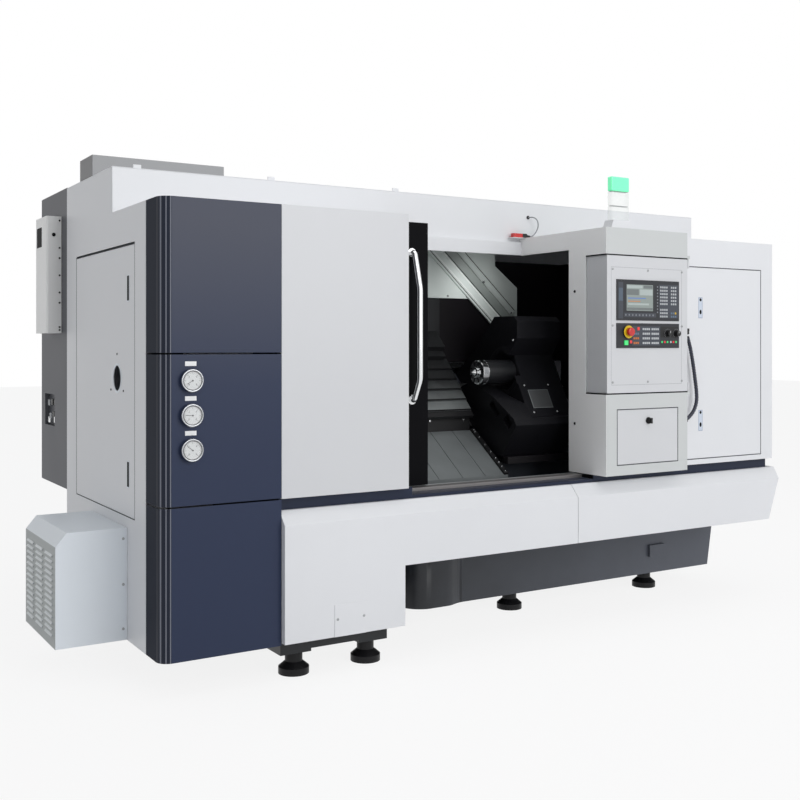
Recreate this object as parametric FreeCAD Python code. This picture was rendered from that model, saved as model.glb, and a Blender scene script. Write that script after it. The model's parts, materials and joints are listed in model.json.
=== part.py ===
import FreeCAD, Part
import math
import os

# Turning lathe with a slant bed: a sheet-metal enclosure on a cast base that stands on levelling feet.
# All sizes are millimetres. Working axes: X from the left side panel to the right, Y from the front panels
# to the back, Z up from the floor. Each finished solid is moved so that the origin is the middle of the base.

V = FreeCAD.Vector

# ---- enclosure -------------------------------------------------------------------------------------
SHEET = 3.0                    # thickness of the painted sheet
SEAM = 2.0                     # open seam between neighbouring sheets and round each door
FLANGE = 40.0                  # folded edge behind a front sheet
FRONT_LENGTH = 3327.0          # front panels, left side panel to their right end
BODY_STEP = 37.0               # how far the upper body reaches past the front panels
BODY_LENGTH = FRONT_LENGTH + BODY_STEP
HEADER_Y = 596.0               # front face of the set-back upper body
REAR_Y = 1325.0                # rear panel's outer face
ROOF_Z = 2038.0                # roof of the upper body
FRONT_TOP_Z = 1847.0           # top of the front covers left of the door opening
RIGHT_TOP_Z = 1833.0           # top of the right front panel
PANEL_BOTTOM_Z = 706.0         # bottom edge of the front covers, above the dark groove
SKIRT_Z = 138.0                # bottom edge of the side panel and the corner column
TAB_PLACES = (90.0, 700.0, 1350.0)   # lifting tabs on the roof's front edge
TAB_WIDTH = 34.0
TAB_HEIGHT = 16.0
TAB_THICKNESS = 6.0
TAB_SETBACK = 6.0

# dark corner column
COLUMN_WIDTH = 484.0
COLUMN_DEPTH = 162.0
COLUMN_RADIUS = 50.0
COLUMN_SEAMS = (706.0, 1270.0)
COLUMN_SEAM_GAP = 6.0

# pressure gauges on the column
GAUGE_X = 116.0
GAUGE_TOP_Z = 1171.0
GAUGE_PITCH = 128.0
GAUGE_COUNT = 3
GAUGE_RADIUS = 43.0
GAUGE_DEPTH = 24.0
GAUGE_RIM = 7.0
GAUGE_DIAL_RECESS = 5.0
GAUGE_DIAL_THICKNESS = 2.0
NEEDLE_LENGTH = 27.0
NEEDLE_TAIL = 6.0
NEEDLE_SHEET = 1.0
NEEDLE_FIRST = 60.0            # angle of the first gauge's needle, and the turn to the next
NEEDLE_TURN = 35.0
NEEDLE_HUB = 4.0
NEEDLE_HUB_RISE = 1.5
NEEDLE_WIDTH = 3.0
TAG_WIDTH = 44.0
TAG_HEIGHT = 17.0
TAG_RISE = 62.0
TAG_THICKNESS = 1.0

# belt below the front covers
BELT_PROUD = 29.0              # how far the belt stands in front of the covers
BELT_SETBACK = 21.0            # where the bevel ends behind the covers' face
TRIM_REACH = 60.0              # cutting forms run this far past the belt
TRIM_RIGHT = 4000.0
TRIM_LAP = 10.0
TRIM_DEPTH = 100.0
BELT_TOP_Z = 658.0
GROOVE_DROP = 12.0             # groove strip starts this far under the belt's top
BELT_KNEE_Z = 605.0
BELT_BOTTOM_Z = 395.0
BELT_TOP_RETURN = 16.0
BELT_BOTTOM_RETURN = 36.0
BELT_SEAM_X = 1962.0
BELT_END_SLANT = 97.0          # how far the right end leans in over the belt's height
APRON_RIGHT_X = 1030.0         # right edge of the lower left panel
APRON_BOTTOM_Z = 147.0
ACCESS_X = 700.0
ACCESS_WIDTH = 145.0
ACCESS_HEIGHT = 128.0
ACCESS_LIP = 8.0               # lip round the access door's opening
ACCESS_LOW_LIP = 12.0

# ---- door opening and sliding door -----------------------------------------------------------------
OPENING_LEFT = 1065.0          # right edge of the fixed cover
OPENING_RIGHT = 2112.0         # left face of the operator housing
SILL_TOP_Z = 687.0
SILL_THICKNESS = 15.0
SILL_Y = 116.0
SILL_DEPTH = 80.0
DOOR_Y = 150.0
DOOR_DEPTH = 37.0
DOOR_FOLD = 50.0               # rear fold of the door's top
HANGER_WIDTH = 60.0
HANGER_SHEET = 5.0
HANGER_GAP = 4.0
HANGER_INSETS = (120.0, 200.0)
DOOR_LEFT = 156.0
DOOR_RIGHT = 1256.0
DOOR_BOTTOM_Z = 692.0
DOOR_TOP_Z = 1838.0
DOOR_STILE = 150.0             # black closing stile at the door's right edge
STILE_PROUD = 2.0
STILE_WALL = 8.0
WINDOW_LEFT = 430.0
WINDOW_RIGHT = 990.0
WINDOW_BOTTOM_Z = 1010.0
WINDOW_TOP_Z = 1610.0
WINDOW_LAP = 18.0
WINDOW_THICKNESS = 8.0
HANDLE_X = 1171.0
HANDLE_TUBE = 13.0             # radius of the bow handle's tube
HANDLE_STANDOFF = 68.0
HANDLE_ROOT = 22.0             # length of the square run out of each rose
HANDLE_ROSE = 21.0
HANDLE_ROSE_THICKNESS = 5.0
HANDLE_LOW_Z = 1066.0
HANDLE_TOP_Z = 1700.0
HANDLE_LOW_RUN = 88.0          # height of the lower slanted run
HANDLE_TOP_RUN = 160.0
HANDLE_BEND = 55.0
RAIL_HEIGHT = 67.0             # upper door rail under the header
RAIL_LOW_Z = 1763.0
FRONT_RAIL_TOP_Z = RAIL_LOW_Z + RAIL_HEIGHT
RAIL_DEPTH = 18.0
RAIL_LEFT = 160.0
GUIDE_WIDTH = 9.0              # lower guide bar on the sill
RAIL_START = 12.0              # upper rail, from the opening's left edge
GUIDE_START = 14.0
GUIDE_END = 4.0
GUIDE_HEIGHT = 3.5

# ---- operator housing ------------------------------------------------------------------------------
HOUSING_WIDTH = 531.0
HOUSING_PROUD = 50.0
HOUSING_BOTTOM_Z = 691.0
HOUSING_TOP_Z = 1851.0
HOUSING_BACK_Y = 212.0
HOOD_Z = 1724.0                # underside of the hood
LOWER_BOX_Z = 1074.0           # top of the lower box
CONTROL_GAP = 3.0
CONTROL_INSET = 6.0            # the control box's left face sits this far inside the housing
CONTROL_BACK_Y = 88.0
BEAM_Z = 1762.0
LIP_LEFT = 77.0                # how far the top lip reaches over the opening
LIP_DEPTH = 50.0
STORAGE_LEFT = 2183.0
STORAGE_WIDTH = 393.0
STORAGE_BOTTOM_Z = 741.0
STORAGE_HEIGHT = 257.0
STORAGE_TRAY = 18.0
LOCK_DROP = 55.0               # the lock's centre below the storage door's top edge
LOCK_RADIUS = 13.0
LOCK_STEM_LENGTH = 24.0
LOCK_COLLAR = 5.0              # height of the collar on the door's face
LOCK_COLLAR_LIP = 3.0
LOCK_CAM_HALF = 6.0            # cam behind the door
LOCK_CAM_SHEET = 4.0
LOCK_CAM_REACH = 40.0
LOCK_STEM = LOCK_RADIUS * 0.6
LOCK_BARREL = LOCK_RADIUS * 0.8
LOCK_WING_HALF = LOCK_RADIUS * 0.35
LOCK_BARREL_SHARE = 0.7
LOCK_REACH = 26.0
CONTROL_HINGE_OUT = 12.0       # hinge line of the control box, outside its right face
CONTROL_HINGE_Y = -42.0
HINGE_PIN = 4.0
HINGE_KNUCKLE = 7.0
HINGE_LUG = 16.0               # height of the housing's hinge lugs
HINGE_PIN_REACH = 30.0
KNUCKLE_END_GAP = 4.0
HINGE_LEAF = 3.0
KNUCKLE_LENGTH = 38.0
RUNNING_CLEARANCE = 0.3

# screen unit and machine panel
PANEL_LEFT = 2175.0
PANEL_WIDTH = 407.0
SCREEN_BOTTOM_Z = 1418.0
SCREEN_HEIGHT = 192.0
KEYPANEL_BOTTOM_Z = 1288.0
KEYPANEL_HEIGHT = 117.0
PANEL_PLATE = 4.0
SCREEN_SIDE = 62.0             # plain cover strip left of the screen
SCREEN_WIDTH = 172.0
SCREEN_DROP = 22.0
SCREEN_TALL = 124.0
SCREEN_RECESS = 1.5
KEY_SIZE = 9.0
KEY_RISE = 1.6
KEY_PITCH_X = 13.4
KEY_PITCH_Z = 16.0
SCREEN_TOP_Z = SCREEN_BOTTOM_Z + SCREEN_HEIGHT
KEYPANEL_TOP_Z = KEYPANEL_BOTTOM_Z + KEYPANEL_HEIGHT
# Blocks of keys: left edge from the panel's left edge, top, columns, rows, key size, pitch along X and Z.
KEY_BLOCKS = [
    (279.0, SCREEN_TOP_Z - 26.0, 4, 6, KEY_SIZE, KEY_PITCH_X, KEY_PITCH_Z),      # letters
    (351.0, SCREEN_TOP_Z - 26.0, 3, 6, KEY_SIZE, KEY_PITCH_X, KEY_PITCH_Z),      # figures
    (279.0, SCREEN_TOP_Z - 134.0, 4, 3, KEY_SIZE, KEY_PITCH_X, KEY_PITCH_Z),     # editing
    (351.0, SCREEN_TOP_Z - 150.0, 3, 2, KEY_SIZE, KEY_PITCH_X, KEY_PITCH_Z),     # cursor
    (258.0, SCREEN_TOP_Z - 26.0, 1, 9, 7.0, KEY_PITCH_X, 15.2),                  # beside the screen
    (52.0, SCREEN_BOTTOM_Z + 30.0, 9, 1, 8.0, 22.0, KEY_PITCH_Z),                # under the screen
    (105.0, KEYPANEL_TOP_Z - 44.0, 3, 3, 10.0, 12.6, 22.0),                      # axis directions
    (164.0, KEYPANEL_TOP_Z - 22.0, 4, 4, 10.0, 12.6, 22.0),                      # modes
    (222.0, KEYPANEL_TOP_Z - 22.0, 4, 4, 10.0, 12.6, 22.0),                      # functions
    (287.0, KEYPANEL_BOTTOM_Z + 34.0, 3, 1, 10.0, 18.0, KEY_PITCH_Z),            # spindle
    (345.0, KEYPANEL_BOTTOM_Z + 34.0, 3, 1, 10.0, 18.0, KEY_PITCH_Z),            # feed
    (130.0, KEYPANEL_TOP_Z - 18.0, 1, 1, 15.0, KEY_PITCH_X, KEY_PITCH_Z),        # reset
    (82.0, KEYPANEL_BOTTOM_Z + 36.0, 1, 1, 14.0, KEY_PITCH_X, KEY_PITCH_Z),      # stop
]
ESTOP_X = PANEL_LEFT + 68.0
ESTOP_Z = 1364.0
ESTOP_RADIUS = 20.0
ESTOP_STEM = 9.0
ESTOP_STEM_LENGTH = 16.0
ESTOP_CAP = 16.0
ESTOP_ROUND = ESTOP_CAP * 0.35
STEM_END_GAP = 0.5             # behind the stop button's stem
COLLAR_RADIUS = 30.0
COLLAR_DEPTH = 8.0
START_X = PANEL_LEFT + 57.0
START_Z = 1313.0
START_SIZE = 22.0
START_RISE = 5.0
START_ROOT = 2.0               # start key's root behind the housing's face
KNOB_Z = 1358.0
KNOB_FIRST_X = PANEL_LEFT + 331.0
KNOB_PITCH = 57.0
KNOB_RADIUS = 14.0
KNOB_HEIGHT = 18.0
KNOB_SHAFT = 4.0
KNOB_SKIRT = 4.0               # height of the skirt under the grip
KNOB_SKIRT_LIP = 3.0
KNOB_FLUTES = 16
FLUTE_RADIUS = 1.8
FLUTE_OFFSET = 0.6             # flutes' middles outside the grip

# ---- right front panel and its door ----------------------------------------------------------------
RIGHT_PANEL_LEFT = 2650.0
RIGHT_DOOR_LEFT = 2690.0
RIGHT_DOOR_RIGHT = 3236.0
RIGHT_DOOR_BOTTOM_Z = 735.0
RIGHT_DOOR_TOP_Z = 1691.0
DOOR_TRAY = 24.0
DOOR_TRAY_LAP = 6.0
STOP_LAP = 14.0                # how far a door's stop reaches behind the leaf
LATCH_X = 2789.0
LATCH_WIDTH = 26.0
LATCH_HEIGHT = 102.0
LATCH_RECESS = 2.0
LATCH_LOW_Z = 874.0
LATCH_HIGH_Z = 1438.0

# ---- left side -------------------------------------------------------------------------------------
SIDE_DOOR_FRONT = 300.0
SIDE_DOOR_REAR = 1152.0
SIDE_DOOR_BOTTOM_Z = 627.0
SIDE_DOOR_TOP_Z = 1694.0
SIDE_DOOR_TOP_GAP = 9.0        # open gap over the side door
SIDE_LATCH_Y = 379.0
SIDE_LATCH_WIDTH = 20.0
SIDE_LATCH_HEIGHT = 106.0
SIDE_LATCH_LOW_Z = 740.0
SIDE_LATCH_HIGH_Z = 1473.0
PORT_RADIUS = 51.0             # round bar-feed port in the side door, on the spindle axis

LOUVRE_REACH = 278.0
LOUVRE_FRONT = 393.0
LOUVRE_REAR = 895.0
LOUVRE_BOTTOM_Z = 140.0
LOUVRE_TOP_Z = 582.0
LOUVRE_CHAMFER_X = 43.0
LOUVRE_CHAMFER_Z = 52.0
LOUVRE_INNER_X = 1.2           # inner chamfer, shifted to keep the sheet's thickness
LOUVRE_INNER_Z = 1.0
LOUVRE_LIP = 2.0
LOUVRE_COLUMNS = 3
LOUVRE_ROWS = 14
LOUVRE_LENGTH = 104.0
LOUVRE_PITCH_Y = 156.0
LOUVRE_PITCH_Z = 23.5
LOUVRE_SLOT = 9.0
LOUVRE_HOOD = 6.0
LOUVRE_START_Z = 182.0
FIT_GAP = 0.5                  # seat gap between two covers of one body
SEAT = 0.3                     # gap between a piece and the seat that carries it

CABINET_LENGTH = 1300.0
CABINET_REAR_Y = 1830.0
CABINET_BOTTOM_Z = 625.0
CABINET_TOP_Z = 2041.0
SOCKET_FRONT = 1560.0
SOCKET_REAR = 1755.0
SOCKET_BOTTOM_Z = 905.0
SOCKET_TOP_Z = 1060.0
SOCKET_RECESS = 24.0
PLATE_STANDOFF = 40.0          # mounting plate in the cabinet, and the switchgear on it
PLATE_MARGIN = 60.0
MODULE_ROWS = 3
MODULE_COLUMNS = 7
MODULE_LEFT = 120.0
MODULE_LOW = 180.0
MODULE_PITCH_X = 155.0
MODULE_PITCH_Z = 400.0
MODULE_WIDTH = 110.0
MODULE_HEIGHT = 190.0
MODULE_DEPTH = 107.0
COOLER_REACH = 70.0
COOLER_FRONT = 1426.0
COOLER_REAR = 1647.0
COOLER_BOTTOM_Z = 1359.0
COOLER_TOP_Z = 1916.0
COOLER_EDGE = 10.0
COOLER_WINDOW = (1520.0, 1620.0, 1775.0, 1870.0)   # Y from and to, Z from and to
COOLER_WINDOW_DEPTH = 2.0
SWITCH_RADIUS = 30.0
SWITCH_GRIP_HALF = SWITCH_RADIUS * 0.9
SWITCH_INSET = 140.0           # main switch from the cabinet door's right edge
SWITCH_STEM = 8.0
SWITCH_STEM_LENGTH = 14.0
SWITCH_DISC = 8.0
SWITCH_GRIP = 7.0
SWITCH_REACH = 28.0
SWITCH_Z = 1500.0

DUCT_LENGTH = 610.0
DUCT_FRONT = 894.0
DUCT_REAR = 1093.0
DUCT_TOP_Z = 2131.0

# ---- signal lamp, safety switch, cables ------------------------------------------------------------
LAMP_BASE_LEFT = 2158.0
LAMP_BASE_WIDTH = 132.0
LAMP_BASE_DEPTH = 60.0
LAMP_BASE_HEIGHT = 38.0
LAMP_BASE_SLANT = 14.0
LAMP_LEFT = 2174.0
LAMP_WIDTH = 112.0
LAMP_DEPTH = 32.0
LENS_ROUND = LAMP_DEPTH * 0.3
LAMP_SEGMENTS = 3
LAMP_SEGMENT_HEIGHT = 68.0
LAMP_DIVIDER = 1.0
LAMP_SETBACK = 14.0            # lamp base behind the housing's front
DIVIDER_INSET = 4.0

SWITCH_BOX_LEFT = 2042.0
SWITCH_BOX_LENGTH = 88.0
SWITCH_BOX_WIDTH = 24.0
SWITCH_BOX_HEIGHT = 22.0
SWITCH_BOX_Y = 556.0
NOSE_LENGTH = 26.0
NOSE_ROOT_LIP = 2.0
NOSE_END_LIP = 1.5
NOSE_RADIUS = 7.0
SWITCH_CABLE = 3.0             # radius
SWITCH_CABLE_POINTS = [
    (2156.0, 568.0, 1862.0), (2172.0, 568.0, 1862.0), (2190.0, 565.0, 1880.0), (2203.0, 562.0, 1902.0),
    (2206.0, 559.0, 1928.0), (2196.0, 558.0, 1950.0), (2180.0, 562.0, 1961.0), (2168.0, 574.0, 1963.0),
    (2166.0, 594.0, 1963.0),
]

PANEL_CABLE = 9.0              # radius of the spiral-wrapped cable
PANEL_CABLE_POINTS = [
    (2668.0, -26.0, 1345.0), (2683.0, -27.0, 1307.0), (2697.0, -28.0, 1250.0), (2708.0, -30.0, 1190.0),
    (2716.0, -33.0, 1128.0), (2722.0, -36.0, 1075.0), (2722.0, -38.0, 1030.0), (2711.0, -36.0, 989.0),
    (2688.0, -32.0, 956.0), (2655.0, -30.0, 934.0),
]
FITTING_LENGTH = 26.0
FITTING_RADIUS = 12.0
ELBOW_RIGHT = 4.0              # elbow of the upper gland, past the cable's start
ELBOW_DROP = 8.0
ELBOW_RISE = 14.0
GROMMET_RADIUS = 9.0
GROMMET_LENGTH = 3.0

# ---- base, feet, bed -------------------------------------------------------------------------------
BASE_LEFT = 1290.0
BASE_RIGHT = 3241.0
BASE_Y = 366.0                 # long front face of the casting
BULGE_Y = 336.0                # front face of the fuller left end
BULGE_RIGHT = 1478.0
BULGE_RUN = 120.0              # length of the soft step between the two faces
BASE_CORNER = 110.0
BASE_REAR_Y = 1250.0
BASE_Z = 92.0
BASE_TOP_Z = 560.0
BASE_DRAFT = 0.165             # how much the base's right end widens per millimetre of height
BASE_WALL = 35.0
BASE_POCKETS = 4
POCKET_FRONT_WALL = 160.0      # pockets under the base, behind its front face
POCKET_MIDDLE_Y = 800.0        # cross wall between the front and the rear pockets
POCKET_REAR_WALL = 140.0
BED_HOLLOW_FRONT = 160.0       # hollow under the slanted bed
BED_HOLLOW_BACK = 110.0
BED_HOLLOW_DROP = 260.0
BED_REAR_WALL = 60.0
BED_END_WALL = 80.0
SEAT_INSET = 40.0              # headstock seat and the shelf under it
SHELF_LAP = 10.0
SHELF_DEPTH = 60.0
JOIN_LAP = 1.0                 # overlap of two forms that are joined into one casting
FRAME_LEFT = COLUMN_WIDTH + SHEET + SEAM   # frame under the headstock end
FRAME_RIGHT = 972.0
FRAME_Y = 22.0
FRAME_BEAM_DEPTH = 126.0
FRAME_BACK_Y = 480.0
FRAME_TOP_Z = 250.0
FRAME_RAISE = 12.0             # the beam's underside above the brackets over the feet
BRACKET_WIDTH = 134.0
DRAIN_X = 2790.0
DRAIN_WIDTH = 110.0
DRAIN_HEIGHT = 62.0
DRAIN_Z = 180.0
DRAIN_REACH = 16.0

FOOT_RADIUS = 61.5
FOOT_RIM = 27.0
FOOT_DOME = 22.0
STEM_RADIUS = 35.0
FOOT_PLACES = [
    (576.0, 84.0), (904.0, 84.0), (1942.0, 462.0), (2854.0, 462.0),
    (576.0, 1180.0), (1360.0, 1180.0), (1942.0, 1180.0), (2854.0, 1180.0),
]

SLANT = math.radians(45.0)
AXIS_Y = 527.0                 # spindle axis
AXIS_Z = 1168.0
BED_LEFT = 700.0
BED_RIGHT = 2620.0
BED_FACE = -320.0              # the bed's slanted face, measured square to it from the spindle axis
BED_LOW = -320.0               # the slanted face's ends, measured along it from the spindle axis
BED_HIGH = 408.0
GUIDE_RAIL_WIDTH = 45.0
GUIDE_RAIL_RISE = 40.0
SADDLE_RAILS = (-222.0, 320.0)
TAILSTOCK_RAILS = (-87.0, 165.0)
RAIL_END_GAP = 20.0
RAIL_CLEARANCE = 1.0

SADDLE_LEFT = 1302.0
SADDLE_RIGHT = 1812.0
SADDLE_UNDER = 5.0             # running gap over the bed's face
SADDLE_TOP = -209.0
SADDLE_LOW = -281.0
SADDLE_HIGH = 405.0
TREAD_LOW = -83.0              # telescopic cover of the cross slide, along the slant
TREAD_PITCH = 66.0
TREAD_COUNT = 5
FIXED_TREADS = 2
TREAD_LAP = 10.0
TREAD_FACE = -186.0
TREAD_STEP = 5.0
TREAD_SHEET = 2.5
TREAD_FOLD_GAP = 0.5           # under the folded edge of each tread
BLOCK_LOW = -116.0             # front block of the saddle under the treads
APRON_TOP = (612.0, 876.0)     # Y and Z of the apron's upper and lower edges
APRON_LOW = (330.0, 681.0)
APRON_PLATES = (1302.0, 1438.0, 1571.0, 1701.0, 1834.0)
APRON_SHEET = 6.0
APRON_SEAM = 3.0               # groove between two plates of the apron
APRON_SKIRT = 60.0
APRON_BRACKET_INSET = 60.0
APRON_BRACKET = 30.0
SADDLE_DEPTH = 40.0            # saddle's front lip, under the apron
SADDLE_LIP = 6.0
SADDLE_LIP_DROP = 10.0
APRON_SEAT_GAP = 4.0
APRON_GROOVE = 3.0
SADDLE_LIP_SHARE = 0.02        # places down the apron's slope, as shares of it
BRACKET_SHARES = (0.04, 0.45)
WIPER_WIDTH = 24.0
WIPER_RISE = 10.0

CROSS_RIGHT = 1790.0
CROSS_LOW = 285.0
CROSS_HIGH = 456.0
CROSS_TOP = -107.0
CROSS_WAYS = (1390.0, 1690.0)
CROSS_WAY_WIDTH = 46.0
CROSS_TRAVEL_ROOM = 125.0
GUARD_Y = 881.0                # rear wall of the work area
GUARD_LEFT = 1490.0
GUARD_RIGHT = 1810.0
GUARD_LOW_Z = 1290.0
GUARD_TOP_Z = 1546.0
RECESS_Y = 1046.0              # deeper rear wall behind the turret
TURRET_ALONG = 320.0           # turret centre, along the slant from the spindle axis
TURRET_DISC = 118.0
TURRET_RADIUS = 165.0
TURRET_SIDES = 12
TURRET_BODY = 150.0
TURRET_BODY_RADIUS = 118.0
TURRET_PIN = 40.0
TURRET_PIN_INSET = 30.0        # pin's end inside the disc
ARM_OFFSET = 60.0              # arm that carries the turret on the cross slide
ARM_SHOULDER = 30.0
ARM_FOOT = 40.0
TOOL_FRONT = 20.0              # tool blocks, from the disc's left face
TOOL_BLOCK = 50.0
TOOL_ROOT = 5.0
TOOL_REACH = 38.0
TOOL_WIDTH = 34.0

UPPER_WALL_LOW_Z = 1549.0
UPPER_WALL_CORNER = (2010.0, 1549.0)
UPPER_WALL_OUTLINE = [(2188.0, 1400.0), (2317.0, 1440.0), (2317.0, 1616.0), (2167.0, 1730.0)]
WALL_TOP_Z = 1755.0
REAR_WALL_LOW_Z = 1215.0       # lower edge of the dark rear wall, over the tailstock
CHANNEL_START = (1741.0, 1895.0)
CHANNEL_END = (2246.0, 1432.0)
CHANNEL_HALF = 89.0
CHANNEL_DEPTH = 44.0
# Section of the channel: share of its half width from the middle, and depth off the wall.
CHANNEL_SECTION = [
    (0.98, 0.0), (0.98, 6.0), (0.60, 8.0), (0.42, 12.0), (0.18, CHANNEL_DEPTH),
    (-0.25, CHANNEL_DEPTH * 0.72), (-0.62, 18.0), (-0.98, 12.0), (-0.98, 0.0),
]
GUARD_FOLD_RAISE = 20.0
LEDGE_LEG = 40.0

TAIL_LEFT = 1850.0             # left end of the tailstock's foot
TAIL_HEAD_LEFT = 1960.0        # left face of its upper body
TAIL_RIGHT = 2235.0
TAIL_LOW = -243.0              # ends of the tailstock's underside, along the slant
TAIL_FOOT_HIGH = 150.0
TAIL_HIGH = 291.0
TAIL_FOOT_FRONT = [(309.0, 1001.0), (287.0, 968.0), (400.0, 760.0)]   # Y and Z of the foot's front corners
TAIL_FOOT_TOP = [(650.0, 1120.0), (469.0, 1046.0)]
TAIL_HEAD_TOP = [
    (784.0, 1269.0), (610.0, 1446.0), (450.0, 1446.0), (422.0, 1422.0), (422.0, 1336.0), (484.0, 1252.0),
    (470.0, 1218.0), (354.0, 1005.0),
]
QUILL_RADIUS = 60.0
QUILL_NOSE = 172.0             # how far the quill stands out of the upper body at rest
QUILL_LENGTH = 400.0
QUILL_BORE_CLEARANCE = 0.06
QUILL_RECESS_RADIUS = 95.0
QUILL_RECESS_DEPTH = 30.0
TAIL_BOSS_RADIUS = 128.0
TAIL_BOSS_RISE = 6.0
CENTRE_HEAD = 12.0
CENTRE_HEAD_RADIUS = 26.0
CENTRE_TIP = 16.0
CENTRE_TIP_ROOT = CENTRE_HEAD_RADIUS * 0.6
SHANK_END_GAP = 5.0            # behind the live centre's shank
CENTRE_SHANK = 14.0
CENTRE_SHANK_LENGTH = 90.0
POCKET_DEPTH = 26.0
TAIL_POCKETS = ((-173.0, -81.0, 85.0, 36.0), (-290.0, -46.0, 60.0, 42.0))

HEADSTOCK_LEFT = 300.0
HEADSTOCK_LENGTH = 390.0
HEADSTOCK_FRONT = 345.0
HEADSTOCK_REAR = 760.0
HEADSTOCK_BOTTOM_Z = 930.0
HEADSTOCK_TOP_Z = 1385.0
HEADSTOCK_CHAMFER = 60.0
SPINDLE_RADIUS = 72.0
SPINDLE_BORE = 33.0
SPINDLE_TAIL = 150.0
SPINDLE_CLEARANCE = 0.06
CHUCK_RADIUS = 127.0
CHUCK_LENGTH = 104.0
CHUCK_GAP = 14.0
JAW_ROOT = 20.0                # jaws set into the chuck's face
JAW_COUNT = 3
CHUCK_WALL_CLEARANCE = 12.0    # hole in the left wall round the chuck
JAW_LENGTH = 42.0
JAW_WIDTH = 34.0
JAW_HEIGHT = 62.0
JAW_INNER = 36.0
MOTOR_LENGTH = 120.0
MOTOR_RADIUS = 150.0

LEFT_WALL_X = 712.0
RIGHT_WALL_X = 2638.0
TRAY_FRONT_Y = 199.0
TRAY_Z = 566.0
LEDGE_Y = 347.0
LEDGE_DEPTH = 39.0
LEDGE_LOW_Z = 729.0
LEDGE_HEIGHT = 33.0
LEDGE_LEFT = 1846.0

SCREW_RADIUS = 5.5
SCREW_RISE = 2.5
FACE_SCREW_COLUMNS = (2152.0, 2377.0, 2604.0)
FACE_SCREW_ROWS = (1128.0, 1393.0, 1657.0)
LOUVRE_SCREW_INSET = 16.0
LOUVRE_SCREW_HEIGHTS = (185.0, 360.0, 540.0)
ACCESS_SCREW_INSET = 13.0
ACCESS_SCREW_RISE = 70.0
HOUSING_SCREW_Y = 168.0
HOUSING_SCREW_HEIGHTS = (925.0, 1560.0)

# ---- origin: middle of the overall box, on the floor -------------------------------------------------
HOUSING_RIGHT = OPENING_RIGHT + HOUSING_WIDTH
PANEL_FACE_Y = -HOUSING_PROUD - PANEL_PLATE
ESTOP_FRONT_Y = PANEL_FACE_Y - ESTOP_STEM_LENGTH - ESTOP_CAP
X_LOW = -LOUVRE_REACH - LOUVRE_HOOD
SWITCH_BACK_Y = CABINET_REAR_Y + SWITCH_REACH
SWITCH_X = CABINET_LENGTH - SWITCH_INSET
STORAGE_LOCK_X = STORAGE_LEFT + STORAGE_WIDTH / 2.0
STORAGE_LOCK_Z = STORAGE_BOTTOM_Z + STORAGE_HEIGHT - LOCK_DROP
CONTROL_LOW_Z = LOWER_BOX_Z + CONTROL_GAP
CONTROL_HIGH_Z = HOOD_Z - CONTROL_GAP
LAMP_MIDDLE_Y = -HOUSING_PROUD + LAMP_SETBACK + LAMP_BASE_DEPTH / 2.0
ORIGIN = V((X_LOW + BODY_LENGTH) / 2.0, (ESTOP_FRONT_Y + SWITCH_BACK_Y) / 2.0, 0.0)

os.makedirs("parts", exist_ok=True)


# ---- helpers ---------------------------------------------------------------------------------------
def box(x0, x1, y0, y1, z0, z1):
    return Part.makeBox(x1 - x0, y1 - y0, z1 - z0, V(x0, y0, z0))


def prism(points, along):
    wire = Part.makePolygon(points + points[:1])
    return Part.Face(wire).extrude(along)


def prism_x(points, x0, x1):
    return prism([V(x0, y, z) for y, z in points], V(x1 - x0, 0, 0))


def prism_y(points, y0, y1):
    return prism([V(x, y0, z) for x, z in points], V(0, y1 - y0, 0))


def cyl_x(x0, x1, y, z, radius):
    return Part.makeCylinder(radius, x1 - x0, V(x0, y, z), V(1, 0, 0))


def cyl_y(x, y0, y1, z, radius):
    return Part.makeCylinder(radius, y1 - y0, V(x, y0, z), V(0, 1, 0))


def cyl_z(x, y, z0, z1, radius):
    return Part.makeCylinder(radius, z1 - z0, V(x, y, z0), V(0, 0, 1))


def tray_y(x0, x1, z0, z1, face_y, depth, sheet=SHEET):
    """A front sheet with its four edges folded back."""
    outer = box(x0, x1, face_y, face_y + depth, z0, z1)
    return outer.cut(box(x0 + sheet, x1 - sheet, face_y + sheet, face_y + depth, z0 + sheet, z1 - sheet))


def slant(along, square):
    """Y and Z of a point given along the slanted bed and square to it, from the spindle axis."""
    c, s = math.cos(SLANT), math.sin(SLANT)
    return (AXIS_Y + along * c - square * s, AXIS_Z + along * s + square * c)


def slant_block(x0, x1, low, high, under, top):
    return prism_x([slant(low, under), slant(high, under), slant(high, top), slant(low, top)], x0, x1)


def save(name, *solids):
    shape = solids[0] if len(solids) == 1 else Part.makeCompound(list(solids))
    moved = shape.copy()
    moved.translate(-ORIGIN)
    moved.exportStep("parts/" + name + ".step")


def rounded_path(points, radius_limit=None):
    """Straight runs joined by tangent arcs; returns the wire, its length and the arcs' radii."""
    pts = [V(*p) for p in points]
    edges = []
    radii = []
    at = pts[0]
    for i in range(1, len(pts) - 1):
        before = pts[i] - pts[i - 1]
        after = pts[i + 1] - pts[i]
        turn = before.getAngle(after)
        shorter = min(before.Length, after.Length)
        radius = 0.45 * shorter / math.tan(turn / 2.0)
        if radius_limit is not None:
            radius = min(radius, radius_limit)
        reach = radius * math.tan(turn / 2.0)
        u = before.normalize()
        w = after.normalize()
        start = pts[i] - u * reach
        end = pts[i] + w * reach
        bisector = (w - u).normalize()
        middle = pts[i] + bisector * (radius / math.cos(turn / 2.0) - radius)
        edges.append(Part.LineSegment(at, start).toShape())
        edges.append(Part.Arc(start, middle, end).toShape())
        radii.append(round(radius, 1))
        at = end
    edges.append(Part.LineSegment(at, pts[-1]).toShape())
    wire = Part.Wire(edges)
    return wire, wire.Length, radii


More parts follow.
